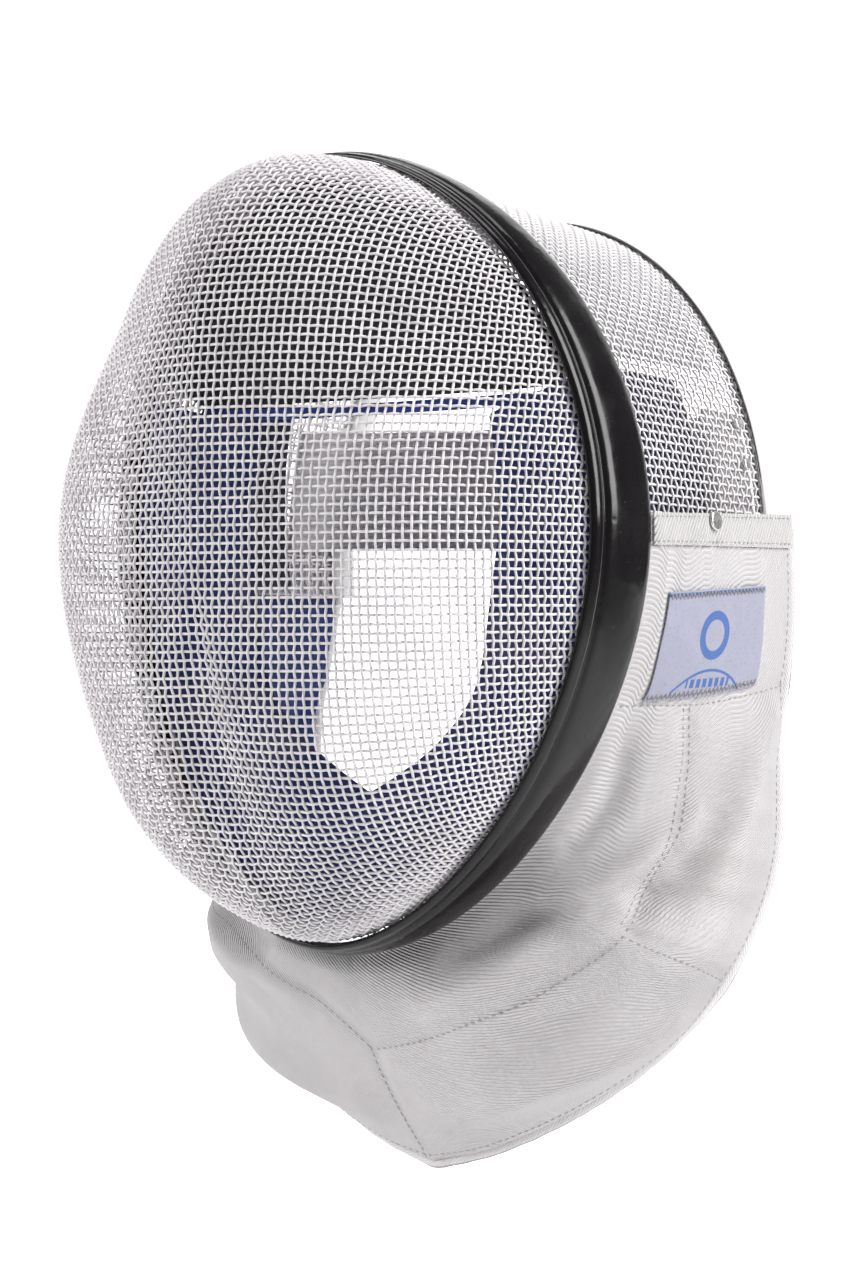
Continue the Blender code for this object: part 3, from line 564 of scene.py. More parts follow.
def middle_wire(sign):
    """Half of the upright wire on the crease, from LEVEL up (sign 1) or down (sign -1)."""
    tall = LEVEL / RING_HALF_HEIGHT + (sign - LEVEL / RING_HALF_HEIGHT) * fine_shares()
    front = np.maximum(1 - np.abs(tall) ** fullness(0 * tall, tall), 0) ** (1 / DOME_ROUNDNESS)
    z = RING_HALF_HEIGHT * tall + DOME_BROW * 4 * front * (1 - front) * np.maximum(tall, 0) ** 2
    return with_skirt(np.stack([0 * tall, -DOME_DEPTH * front - RING_BOW * tall ** 2, z], -1))


def level_wire():
    """Half of the level wire at LEVEL, from the crease to the wearer's left."""
    wide = fine_shares()
    tall = LEVEL / RING_HALF_HEIGHT + 0 * wide
    out = (wide ** RING_ROUNDNESS + tall ** RING_ROUNDNESS) ** (1 / RING_ROUNDNESS)
    low, high = 0 * wide, 1.1 + 0 * wide
    for _ in range(40):
        front = (low + high) / 2
        inside = out ** fullness(wide, tall) + front ** DOME_ROUNDNESS + DOME_CREASE * wide * front < 1
        low, high = np.where(inside, front, low), np.where(inside, high, front)
    x = RING_HALF_WIDTH * wide * (1 + RING_TOP_FULLER * tall)
    return with_skirt(np.stack([x, -DOME_DEPTH * low - RING_BOW * tall ** 2, LEVEL + 0 * wide], -1))


def quarter(sign, across, up):
    """Crossings of one quarter of the face mesh, as a net of even pitch laid over the dome."""
    net = np.full((across, up, 3), np.nan)
    net[:, 0] = even_points(level_wire(), across)
    net[0, :] = even_points(middle_wire(sign), up)
    for diagonal in range(2, across + up - 1):
        i = np.arange(max(1, diagonal - up + 1), min(across - 1, diagonal - 1) + 1)
        j = diagonal - i
        a, b, c = net[i - 1, j], net[i, j - 1], net[i - 1, j - 1]
        known = np.isfinite(a[:, 0]) & np.isfinite(b[:, 0]) & np.isfinite(c[:, 0])
        if known.any():
            point = next_crossing(a[known], b[known], c[known])
            point[dome_shares(point)[2] < -0.04] = np.nan
            net[i[known], j[known]] = point
    return net


def wires(names, net, normal):
    """Two sets of wires over and under each other through a net's crossings, which lie on the outer face."""
    middle = net - normal * MESH_MIDDLE
    parity = (-1.0) ** np.add.outer(np.arange(net.shape[0]), np.arange(net.shape[1]))
    first = tubes(names[0], woven(middle, normal, parity), WIRE_SIDES)
    turned = [np.swapaxes(field, 0, 1) for field in (middle, normal, -parity)]
    return first, tubes(names[1], woven(*turned), WIRE_SIDES)


def woven(crossings, normals, lift):
    """Paths of the wires along the first axis, which pass over and under the others."""
    paths = []
    for row in range(crossings.shape[1]):
        line, up = crossings[:, row], normals[:, row]
        good = np.isfinite(line[:, 0]).astype(int)
        starts = np.flatnonzero(np.diff(np.concatenate([[0], good])) == 1)
        ends = np.flatnonzero(np.diff(np.concatenate([good, [0]])) == -1)
        if not len(starts):
            continue
        longest = np.argmax(ends - starts)
        first, last = starts[longest], ends[longest] + 1
        if last - first < 3:
            continue
        here, way = line[first:last], up[first:last]
        over = here + way * (lift[first:last, row] * WIRE_RADIUS)[:, None]
        count = 2 * len(here) - 1
        points, ways = np.empty((count, 3)), np.empty((count, 3))
        points[::2], ways[::2] = over, way
        points[1::2], ways[1::2] = (over[1:] + over[:-1]) / 2, unit(way[1:] + way[:-1])
        paths.append((points, ways, WIRE_RADIUS, WIRE_RADIUS))
    return paths


def face_mesh():
    across, up = 62, 66
    top, low = quarter(1, across, up), quarter(-1, across, up)
    half = np.concatenate([low[:, :0:-1], top], axis=1)
    net = np.concatenate([half[:0:-1] * MIRROR, half], axis=0)
    # Crossings off the dome have no place: any place inside it does for their normals, which aren't used
    return wires(("front_weft", "front_warp"), net, unit(dome_slope(np.where(np.isfinite(net), net, 0.05))))


def crown_wires():
    hoops, arch = 37, 129
    v = np.linspace(0.004, 0.996, hoops)
    fine = np.linspace(-1, 1, 1201)
    net = np.empty((arch, hoops, 3))
    for k, share in enumerate(v):
        line = crown(fine, share)
        run = run_along(line)
        net[:, k] = crown(np.interp(np.linspace(0, run[-1], arch), run, fine), share)
    return wires(("crown_hoops", "crown_lengths"), net, grid_normal(net))


# Ring, channel and strip

# Section of the ring: outward as a share of its stand, back as a share of the band or, if negative, of the lap
TRIM_FRONT = (
    (0.07, 0.020), (0.12, -0.75), (0.22, -0.97), (0.36, -1.00), (0.52, -0.92), (0.66, -0.68), (0.76, -0.34),
    (0.80, 0.000), (0.78, 0.035), (0.70, 0.065), (0.58, 0.085), (0.545, 0.100), (0.56, 0.120), (0.70, 0.145),
    (0.83, 0.175), (0.94, 0.220), (1.03, 0.290), (1.10, 0.380), (1.15, 0.500), (1.165, 0.620), (1.155, 0.760),
    (1.13, 0.880), (1.09, 0.945), (1.03, 0.985), (0.94, 1.000),
)
TRIM_BACK = ((0.94, 1.000), (0.98, 0.750), (1.00, 0.500), (0.60, 0.350), (0.25, 0.270), (0.00, 0.220))


def trim_piece(stations=264):
    angle = 360 * np.arange(stations) / stations
    band, stand = band_width(angle), band_stand(angle)
    columns = []
    for rows, wall in ((TRIM_FRONT, 0.0), (TRIM_BACK, TRIM_WALL)):
        for out, back in rows:
            depth = back * (TRIM_LAP if back < 0 else band)
            columns.append(rim(angle, np.maximum(out * stand - wall, GAP), depth)[0])
    return loft("ring_moulding", np.stack(columns, axis=1), closed=True, smooth=50.0)


def channel_piece(stations=181):
    """The channel folded over the crown's rear edge, as a closed section carried round the arch."""
    u = np.linspace(-1, 1, stations)
    length = (crown(0.0, 1.0) - crown(0.0, 0.0))[1]
    width, wall, air = 0.011, 0.0013, GAP
    outer_lift, inner_drop = air, MESH_WALL + air
    # Each row: lift over the outer face, and how far in front of the crown's rear edge
    section = (
        (outer_lift, width), (outer_lift + 0.6 * wall, width - 0.0001), (outer_lift + wall, width - 0.0007),
        (outer_lift + wall, width * 0.5), (outer_lift + wall, 0.0008), (outer_lift + wall * 0.8, -0.0006),
        (outer_lift, -0.0014), (-inner_drop * 0.5, -0.0017), (-inner_drop, -0.0014),
        (-(inner_drop + wall * 0.8), -0.0006), (-(inner_drop + wall), 0.0008), (-(inner_drop + wall), width * 0.5),
        (-(inner_drop + wall), width - 0.0007), (-(inner_drop + 0.6 * wall), width - 0.0001), (-inner_drop, width),
        (-inner_drop, 0.0010), (-inner_drop, air), (outer_lift, air), (outer_lift, 0.0010), (outer_lift, width * 0.5),
    )
    place = crown(u, 1.0)
    normal = surface_normal(crown, u, 0.999)
    ahead = unit(crown(u, 0.0) - place)
    columns = [place + normal * lift + ahead * front for lift, front in section]
    band = loft("rear_channel", np.stack(columns, axis=1), smooth=50.0)
    strip = (0.0007 + 0.0013 * np.cos(np.radians(CROWN_END * u)) ** 2)[:, None]
    v = 1 - (width + air + strip * np.linspace(1, 0, 4)[None, :]) / length
    over = crown(u[:, None], v) + surface_normal(crown, u[:, None], v) * (0.0008 + air)
    return band, slab("rear_strip", over, 0.0008, least=0.5)


# Cloth


def bib_piece():
    grid = bib_grid(401, 92)
    tucked = grid.copy()
    tucked[:, 0, 1] -= 2 * GAP          # the ring's rear edge presses on the cloth
    cloth = slab("quilted_bib", tucked, BIB_WALL, radius=0.0022, least=0.25, smooth=60.0, full_start=True)
    return cloth, Sampler(grid, 2.0)


def lining_piece(sampler):
    u, v = spread(0.120, 1.880, 200, 0, 1, 60)
    grid = sampler.at(u, v, -(BIB_WALL + LINING_AIR))[0]
    return slab("inner_lining", smooth_rows(grid, 3), LINING_WALL, radius=0.0008, least=0.4, smooth=60.0)


def binding_piece(sampler):
    """The rolled binding round the bib's rear edge."""
    u, inward, overlap = np.linspace(0.02, 1.98, 520), 0.965, 0.75
    edge, normal = sampler.at(u, 1 + 0 * u, -BIB_WALL / 2)
    before = sampler.at(u, inward + 0 * u, -BIB_WALL / 2)[0]
    middle = edge + unit(edge - before) * (BINDING_RADIUS * overlap)
    for _ in range(6):
        middle[1:-1] = 0.5 * middle[1:-1] + 0.25 * (middle[:-2] + middle[2:])
    run = run_along(middle)
    ripple = 1 + 0.05 * np.sin(run / 0.0021) * np.sin(run / 0.013)
    return tubes("edge_binding", [(middle, normal, BINDING_RADIUS * 1.02 * ripple, BINDING_RADIUS * ripple)], 14)


def tape_pieces(sampler):
    drop = fall(TAPE_WIDTH)
    tapes = []
    for side, name in SIDES:
        u, v = spread(0, 1, 15, 0.005, 0.995, 130)
        u = drop * u
        if side < 0:
            u = 2 - u[::-1]
        place, normal = sampler.at(u, v, TAPE_WALL + GAP)
        share = np.abs(v - TAPE_RIVET_AT)
        pucker = -0.0005 * np.exp(-((share / 0.035) ** 2)) + 0.00035 * np.exp(-(((share - 0.075) / 0.03) ** 2))
        wave = 0.00012 * np.sin(v * 61) * np.sin(v * 17)
        tapes.append(slab("twill_tape_" + name, place + normal * (pucker + wave)[..., None], TAPE_WALL,
                          radius=0.0006, least=0.4))
    return tapes


def label_place(u, v):
    down = fall(LABEL_DROP + LABEL_HEIGHT * v - (LABEL_RISE + LABEL_SPREAD * v) * u)
    length = np.linalg.norm(bib(down, 1.0) - bib(down, 0.0), axis=-1)
    return down, (LABEL_FROM_RING + LABEL_WIDTH * u) / length


def label_piece(sampler):
    u, v = spread(0, 1, 90, 0, 1, 62)
    down, across = label_place(u, v)
    sag = 0.00016 * np.sin(u * 9 + v * 3) * np.sin(v * 7 + 1)
    grid = smooth_rows(sampler.at(down, across, LABEL_LIFT + sag)[0], 6)
    # The label's u runs back along the bib and its v down it, so its rows are turned round to face outward
    return slab("label_cloth", grid[::-1], LABEL_WALL, radius=0.0004, least=0.5), grid


def rivet_head(name, place, normal, radius):
    """A low domed head, turned and bevelled as on a lathe, then set on its surface."""
    bpy.ops.object.select_all(action="DESELECT")
    height = 0.0012
    bpy.ops.mesh.primitive_cylinder_add(vertices=40, radius=radius, depth=height)
    thing = bpy.context.active_object
    thing.name = name
    bevel = thing.modifiers.new("rounding", "BEVEL")
    bevel.width, bevel.segments, bevel.limit_method = height * 0.8, 5, "ANGLE"
    bpy.ops.object.modifier_apply(modifier=bevel.name)
    turn = Vector(normal).to_track_quat("Z", "Y").to_matrix().to_4x4()
    turn.translation = Vector(place + normal * (height / 2 + GAP) - SEAT)
    thing.data.transform(turn)
    bpy.ops.object.shade_smooth_by_angle(angle=math.radians(50))
    return thing


def forehead_pieces():
    u, v = spread(-1, 1, 121, 0, 1, 40)

    def pad(u, v):
        u, v = np.broadcast_arrays(u, v)
        angle = BROW_END_ANGLE * u
        clear = BROW_EDGE_GAP + (BROW_END_GAP - BROW_EDGE_GAP) * u * u
        top = rim(angle, -(MESH_WALL + clear), SOFT_GAP)[0]
        low = np.stack([top[..., 0], BROW_SET_BACK + 0 * u, BROW_HEIGHT + 0 * u], -1)
        return low + (top - low) * v[..., None]

    grid = pad(u, v)
    crease = 0.0012 * np.sin(u * 5.5 + 0.7) * np.sin(v * 3.0) + 0.0006 * np.sin(u * 13 + v * 5)
    cloth = slab("forehead_cushion", grid, PAD_WALL, puff=crease - 0.0013, **THICK_PAD)
    line = np.linspace(-1, 1, 161)
    edge, above = pad(line, 0.0), pad(line, 0.1)
    down = unit(edge - above)
    normal = surface_normal(pad, line, 0.05)
    middle = edge - normal * (PAD_WALL / 2) + down * (PIPING_RADIUS + PIPING_GAP)
    piping = tubes("brow_piping", [(middle, normal, PIPING_RADIUS, PIPING_RADIUS)], 14)
    return cloth, piping


def face_cushion():
    u, v = spread(0, 2, 241, 0, 1, 36)
    share, side = fold_over(u)
    angle = FACE_START_ANGLE + (180 - FACE_START_ANGLE) * share
    outer = rim(angle, -(MESH_WALL + FACE_EDGE_GAP), SOFT_GAP)[0]
    opening = np.stack([FACE_HALF_WIDTH * hermite(FACE_SHARES, FACE_ROWS["width"], share),
                        FACE_SET_BACK + 0 * share, FACE_DROP * hermite(FACE_SHARES, FACE_ROWS["height"], share)], -1)
    grid = opening + (outer - opening) * v[..., None]
    grid[..., 0] *= side
    seam = np.exp(-(((v - 0.5) / 0.06) ** 2))
    puff = -0.0010 - 0.0014 * seam + 0.0008 * np.sin(u * 21 + 2 * v) * np.sin(v * 6.0)
    return slab("face_cushion", grid, PAD_WALL, puff=puff, **THICK_PAD)


def crown_cushion():
    most = CROWN_PAD_ANGLE / CROWN_END
    u, v = spread(-most, most, 120, CROWN_PAD_FRONT, CROWN_PAD_REAR, 44)
    under = crown(u, v) - surface_normal(crown, u, v) * (MESH_WALL + SOFT_GAP)
    return slab("crown_cushion", under, CROWN_PAD_WALL, **THIN_PAD)


def side_cushions():
    """The pads on the crown's inner walls, from the face cushion back to the strap."""
    pads = []
    for side, name in SIDES:
        u, v = spread(0, 1, 48, 0, 1, 48)
        front, rear = (low + (top - low) * u for low, top in (SIDE_PAD_FRONT, SIDE_PAD_REAR))
        across = front + (rear - front) * v
        at = wall_share(SIDE_PAD_LOW + (SIDE_PAD_TOP - SIDE_PAD_LOW) * u, across)
        grid = crown(at, across) - surface_normal(crown, at, across) * (MESH_WALL + SOFT_GAP)
        grid = grid[::-1] if side > 0 else grid * MIRROR
        pads.append(slab("side_cushion_" + name, grid, SIDE_PAD_WALL, **THIN_PAD))
    return pads


def wall_share(height, v):
    """Share u at which the crown wall has a height over the ring's middle, at a share v of its length."""
    low, high = np.zeros_like(height), np.ones_like(height)
    for _ in range(40):
        middle = (low + high) / 2
        above = crown(middle, v)[..., 2] > height
        low, high = np.where(above, middle, low), np.where(above, high, middle)
    return low


def strap_piece():
    fixed = 0.3                         # share of each half that lies on the crown's wall
    u, v = spread(0, 2, 221, 0, 1, 24)
    share, side = fold_over(u)
    height = STRAP_LOW + STRAP_WIDTH * v
    across = np.minimum(STRAP_START + (STRAP_LEAVES - STRAP_START) * share / fixed, STRAP_LEAVES)
    at = wall_share(height, across)
    wall = crown(at, across) - surface_normal(crown, at, across) * (MESH_WALL + GAP)
    turn = math.pi / 2 * np.clip((share - fixed) / (1 - fixed), 0, 1)
    rear = CROWN_REAR + STRAP_SAG
    free = np.stack([wall[..., 0] * np.cos(turn), wall[..., 1] + (rear - wall[..., 1]) * np.sin(turn),
                     wall[..., 2]], -1)
    grid = np.where((share <= fixed)[..., None], wall, free)
    grid[..., 0] *= side
    return slab("elastic_strap", grid, STRAP_WALL, radius=0.0009, least=0.5, smooth=60.0)


# Finishes

VIEW_TURN = math.radians(40)            # the camera stands this far round to the wearer's left


class Value:
    """A socket in a material. Arithmetic on it adds maths to the material."""

    def __init__(self, tree, socket=None):
        self.tree, self.socket = tree, socket

    def node(self, kind, settings, inputs, output=0):
        made = self.tree.nodes.new(kind)
        for key, setting in settings.items():
            setattr(made, key, setting)
        for key, value in inputs.items():
            if isinstance(value, Value):
                self.tree.links.new(value.socket, made.inputs[key])
            else:
                made.inputs[key].default_value = value
        return Value(self.tree, made.outputs[output])

    def maths(self, operation, *values):
        return self.node("ShaderNodeMath", {"operation": operation}, dict(enumerate(values)))

    def __add__(self, other):
        return self.maths("ADD", self, other)

    def __sub__(self, other):
        return self.maths("SUBTRACT", self, other)

    def __rsub__(self, other):
        return self.maths("SUBTRACT", other, self)

    def __mul__(self, other):
        return self.maths("MULTIPLY", self, other)

    def __truediv__(self, other):
        return self.maths("DIVIDE", self, other)

    def __pow__(self, other):
        return self.maths("POWER", self, other)

    __radd__, __rmul__ = __add__, __mul__

    def wave(self):
        """Sine, with one swing for each whole step of the value."""
        return self.maths("SINE", self * (2 * math.pi))

    def between(self, low, high):
        """0 below low and 1 above high, smooth between."""
        return self.node("ShaderNodeMapRange", {"interpolation_type": "SMOOTHSTEP"},
                         {"Value": self, "From Min": low, "From Max": high})


class Finish:
    """A material with its places to read patterns from, and one call for each part of its look."""

    def __init__(self, name, roughness, metallic=0.0):
        self.material = bpy.data.materials.new(name)
        self.material.use_nodes = True
        self.tree = self.material.node_tree
        self.shader = self.tree.nodes["Principled BSDF"]
        self.start = Value(self.tree)
        self.place = self.start.node("ShaderNodeTexCoord", {}, {}, "Object")
        self.constant("Roughness", roughness)
        self.constant("Metallic", metallic)

    def constant(self, name, value):
        self.shader.inputs[name].default_value = value

    def varied(self, name, value):
        self.tree.links.new(value.socket, self.shader.inputs[name])

    def cloth(self):
        """The two directions of the cloth, in metres."""
        uv = self.start.node("ShaderNodeUVMap", {"uv_map": "cloth"}, {})
        return self.split(uv)

    def split(self, vector):
        """The first two numbers of a vector."""
        return [self.start.node("ShaderNodeSeparateXYZ", {}, {0: vector}, k) for k in (0, 1)]

    def noise(self, scale, detail=3.0, rough=0.55, at=None):
        return self.start.node("ShaderNodeTexNoise", {}, {
            "Vector": at or self.place, "Scale": scale, "Detail": detail, "Roughness": rough})

    def stretched(self, x, y, z):
        return self.start.node("ShaderNodeVectorMath", {"operation": "MULTIPLY"}, {0: self.place, 1: (x, y, z)})

    def blend(self, share, first, second):
        """A colour between two, by a share."""
        inputs = {0: share}
        for key, colour in ((6, first), (7, second)):
            inputs[key] = colour if isinstance(colour, Value) else (*colour, 1.0)
        return self.start.node("ShaderNodeMix", {"data_type": "RGBA"}, inputs, 2)

    def look(self, colour, roughness, height, depth=0.001, strength=1.0, **constants):
        """Sets colour, roughness, relief and constant sockets, whose names are given in small letters."""
        self.varied("Base Color", colour)
        self.varied("Roughness", roughness)
        bump = self.start.node("ShaderNodeBump", {}, {"Height": height, "Distance": depth, "Strength": strength})
        self.varied("Normal", bump)
        for name, value in constants.items():
            self.constant(name.replace("_", " ").title().replace("Ior", "IOR"), value)
        return self.material


def wire_finish(name, light, dark):
    """Baked white paint on wire: a little uneven in tone, with fine orange peel."""
    made = Finish(name, 0.4)
    broad, fine = made.noise(60, 3), made.noise(1500, 2)
    return made.look(made.blend(broad.between(0.35, 0.75) * 0.7 + fine * 0.3, light, dark),
                     0.30 + 0.22 * made.noise(300, 3), made.noise(2200, 2), 0.00006, 0.6, coat_weight=0.15)


def moulding_finish():
    """Glossy black moulding: faint flow marks, small dimples and dust."""
    made = Finish("moulding_black", 0.16)
    flow = made.noise(1.0, 3, 0.6, made.stretched(75, 40, 34))
    cells = made.start.node("ShaderNodeTexVoronoi", {"feature": "F1"}, {"Vector": made.place, "Scale": 130.0})
    dimples = cells.between(0.02, 0.22)
    dust = made.noise(900, 2).between(0.66, 0.80)
    return made.look(made.blend(dust * 0.10, (0.005, 0.004, 0.005), (0.12, 0.11, 0.12)),
                     0.13 + 0.16 * flow.between(0.35, 0.75) + 0.2 * dust, dimples * 0.08 + flow * 0.9, strength=0.6,
                     specular_ior_level=0.32, coat_weight=0.12, coat_roughness=0.05)


def plastic_finish(name, light, dark, roughness):
    made = Finish(name, roughness)
    broad, fine = made.noise(90, 4), made.noise(2500, 2)
    return made.look(made.blend(broad.between(0.4, 0.8) * 0.6 + fine * 0.2, light, dark),
                     roughness - 0.08 + 0.2 * broad, fine * 0.4 + broad, 0.0002, 0.4)


def twill_finish(name, light, dark, pitch, depth, wrinkles=0.0011, roughness=0.85):
    """Twill: slanting ribs, cut crosswise by the threads, with slubs and soft creases."""
    made = Finish(name, roughness)
    a, b = made.cloth()
    slub = made.noise(260, 3)
    rib = ((a + b * 0.62) / pitch + slub * 0.25).wave() * 0.5 + 0.5
    thread = ((a * 0.62 - b) / (pitch * 0.55)).wave() * 0.5 + 0.5
    weave = rib * 0.7 + rib * thread * 0.3
    soft = made.noise(38, 4, 0.6)
    creases = made.noise(1.0, 3, 0.5, made.stretched(70, 70, 26))
    soil = made.noise(16, 4).between(0.42, 0.78)
    shade = (1.0 - weave) * 0.62 + soil * 0.24 + slub * 0.12
    relief = weave * (depth / 0.001) + (soft * 0.5 + creases * 0.5) * (wrinkles / 0.001)
    return made.look(made.blend(shade, light, dark), roughness - 0.1 + 0.2 * slub, relief, sheen_weight=0.15)


def plain_cloth_finish(name, light, dark, pitch, blotch_and_sheen=None):
    """Plain weave, each thread over and under the next, with a worn nap."""
    made = Finish(name, 0.9)
    a, b = made.cloth()
    warp, weft = (a / pitch).wave(), (b / pitch).wave()
    weave = warp * weft * 0.5 + 0.5
    nap, broad = made.noise(1400, 3), made.noise(45, 4)
    colour = made.blend(weave * 0.3 + nap * 0.4 + broad * 0.3, dark, light)
    # Patches of a second colour by noise: a darker blue on the bib lining, and on the face cushion a lighter lilac
    # that is painted sheen.
    if blotch_and_sheen:
        colour = made.blend(made.noise(34, 3).between(0.50, 0.62) * 0.75, colour, blotch_and_sheen)
    return made.look(colour, 0.9 - 0.12 + 0.2 * nap, weave * 0.22 + nap * 0.12 + broad * 1.2, sheen_weight=0.05)


def elastic_finish():
    """Woven elastic: lengthwise cords with short crosswise picks."""
    made = Finish("elastic_grey", 0.8)
    a, b = made.cloth()
    cords = (a / 0.0021).wave() * 0.5 + 0.5
    picks = (b / 0.0009 + (a / 0.0042).wave() * 0.5).wave() * 0.5 + 0.5
    weave = cords * 0.6 + picks * 0.4
    fuzz = made.noise(900, 3)
    return made.look(made.blend(weave * 0.7 + fuzz * 0.3, (0.36, 0.35, 0.36), (0.62, 0.60, 0.61)),
                     0.7 + 0.2 * fuzz, weave * 0.5 + fuzz * 0.1, sheen_weight=0.2)


def label_finish():
    """Close satin weave in pale lilac grey with small flecks, a blue top edge and a plain blue mark."""
    made = Finish("label_satin", 0.6)
    a, b = made.cloth()
    b = b + LABEL_WIDTH / 2
    fine = ((a / 0.0007).wave() * (b / 0.0007).wave()) * 0.5 + 0.5
    flecks = made.start.node("ShaderNodeTexVoronoi", {"feature": "F1"}, {
        "Vector": made.stretched(1.0, 1.0, 1.6), "Scale": 420.0}).between(0.10, 0.35)
    broad = made.noise(120, 3)
    field = made.blend(fine * 0.35 + broad * 0.35 + flecks * 0.25, (0.22, 0.22, 0.31), (0.40, 0.40, 0.50))

    def off(value):
        return made.start.maths("ABSOLUTE", value)

    def reach(across, along):
        return ((a - across) ** 2.0 + (b - along) ** 2.0) ** 0.5

    def drawn(value, half):
        return 1.0 - value.between(half - 0.0002, half + 0.0002)

    top_edge = drawn(off(a - 0.0012), 0.0006)
    ring = drawn(off(reach(0.0165, 0.0295) - 0.0072), 0.0016)
    arc = drawn(off(reach(0.0560, 0.0295) - 0.0270), 0.0005) * drawn(off(b - 0.0295), 0.0190)
    bar = drawn(off(a - 0.0335), 0.0016) * drawn(off(b - 0.0295), 0.0120) * (b / 0.0034).wave().between(-0.5, -0.3)
    mark = top_edge
    for drawing in (ring, arc, bar):
        mark = mark.maths("MAXIMUM", mark, drawing)
    return made.look(made.blend(mark * (0.80 + 0.2 * fine), field, (0.012, 0.10, 0.36)),
                     0.45 + 0.3 * fine, fine * 0.08 + flecks * 0.05 + broad * 0.25, sheen_weight=0.2)


def thread_finish(name, light, dark):
    """Twisted sewing thread."""
    made = Finish(name, 0.6)
    a, b = made.cloth()
    twist = ((b + a * 1.4) / 0.0006).wave() * 0.5 + 0.5
    return made.look(made.blend(twist * 0.5 + made.noise(700, 2) * 0.4, light, dark),
                     0.45 + 0.3 * twist, twist, 0.0001)


def steel_finish(name):
    """Nickel-plated steel: bright, with fine turned marks and a few stains."""
    made = Finish(name, 0.25, 1.0)
    marks, stains = made.noise(2600, 3), made.noise(500, 4).between(0.5, 0.8)
    return made.look(made.blend(stains * 0.7, (0.72, 0.71, 0.69), (0.42, 0.40, 0.38)),
                     0.18 + 0.2 * marks + 0.15 * stains, marks, 0.00008, 0.6)


def stage_finish():
    made = Finish("pale_sweep", 0.9)
    clouds = made.noise(3.0, 2).between(0.3, 0.7)
    made.varied("Base Color", made.blend(clouds, (0.90, 0.90, 0.90), (0.94, 0.94, 0.94)))
    x, y = made.split(made.place)
    behind = y * math.cos(VIEW_TURN) - x * math.sin(VIEW_TURN)
    # Painted light: the sweep glows, dim grey in front of the mask and full white behind it, so the backdrop shows
    # pure white and throws light on the mask.
    made.varied("Emission Color", made.blend(behind.between(0.4, 1.5), (0.10, 0.10, 0.10), (1.0, 1.0, 1.0)))
    made.constant("Emission Strength", 0.95)
    return made.material


def give(thing, material, slot, *nodes):
    """Puts a finish on a piece, parents it to the root empty, and hides the CAD nodes that it stands for."""
    thing.data.materials.clear()
    thing.data.materials.append(material)
    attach(thing, "root")
    if nodes:
        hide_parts(*nodes)
    return thing


# Build

weft, warp = face_mesh()
hoops, crown_lengths = crown_wires()
face_paint = wire_finish("wire_paint", (0.80, 0.775, 0.79), (0.64, 0.61, 0.635))
crown_paint = wire_finish("crown_wire_paint", (0.82, 0.80, 0.81), (0.68, 0.66, 0.68))
for thing in (weft, warp):
    give(thing, face_paint, "painted_wire", "front_mesh")
for thing in (hoops, crown_lengths):
    give(thing, crown_paint, "painted_wire_crown", "crown_mesh")

give(trim_piece(), moulding_finish(), "black_moulding", "edge_trim")
channel, strip = channel_piece()
white_plastic = plastic_finish("channel_white", (0.82, 0.81, 0.80), (0.70, 0.69, 0.68), 0.4)
give(channel, white_plastic, "white_channel", "rear_band")
black_plastic = plastic_finish("strip_black", (0.014, 0.014, 0.015), (0.05, 0.05, 0.05), 0.5)
give(strip, black_plastic, "black_strip", "rear_gasket")

WHITE, WHITE_SHADE = (0.80, 0.775, 0.785), (0.54, 0.515, 0.525)
twill = twill_finish("twill_white", WHITE, WHITE_SHADE, 0.0012, 0.0006)
thread = thread_finish("thread_white", (0.66, 0.64, 0.65), (0.36, 0.35, 0.36))
bib_cloth, on_bib = bib_piece()
give(bib_cloth, twill, "white_twill", "bib")
lining = lining_piece(on_bib)
give(lining, plain_cloth_finish("lining_blue", (0.016, 0.042, 0.220), (0.005, 0.012, 0.080), 0.0008,
                                blotch_and_sheen=(0.010, 0.022, 0.120)), "blue_lining", "bib_lining")
binding = binding_piece(on_bib)
give(binding, twill_finish("binding_white", WHITE, WHITE_SHADE, 0.0011, 0.00018, wrinkles=0.0006),
     "white_binding", "bib_binding")



def beside_line(line, offset, step=0.004):
    """Places and normals on the bib at a distance to one side of a line of shares."""
    place, normal = on_bib.at(line[:, 0], line[:, 1])
    move = np.cross(unit(np.gradient(place, axis=0)), normal) * offset
    step_u = (on_bib.at(line[:, 0] + step, line[:, 1])[0] - place) / step
    step_v = (on_bib.at(line[:, 0], line[:, 1] + step)[0] - place) / step
    uu, uv, vv = (step_u ** 2).sum(-1), (step_u * step_v).sum(-1), (step_v ** 2).sum(-1)
    mu, mv = (step_u * move).sum(-1), (step_v * move).sum(-1)
    det = uu * vv - uv ** 2
    du, dv = (mu * vv - mv * uv) / det, (mv * uu - mu * uv) / det
    return on_bib.at(line[:, 0] + du, np.clip(line[:, 1] + dv, 0.004, 0.985))


# Stitches beside every sewn seam, and one line inside the binding
seam_lines = [beside_line(line, offset) for name, line in SEAM_LINES for offset in SEAM_STITCHES[name]]
rear_u = np.linspace(0.03, 1.97, 900)
seam_lines.append(on_bib.at(rear_u, 0.966 + 0 * rear_u))
give(stitches("seam_stitches", seam_lines, 0.0020, 0.0011, 0.00026), thread, "white_twill")

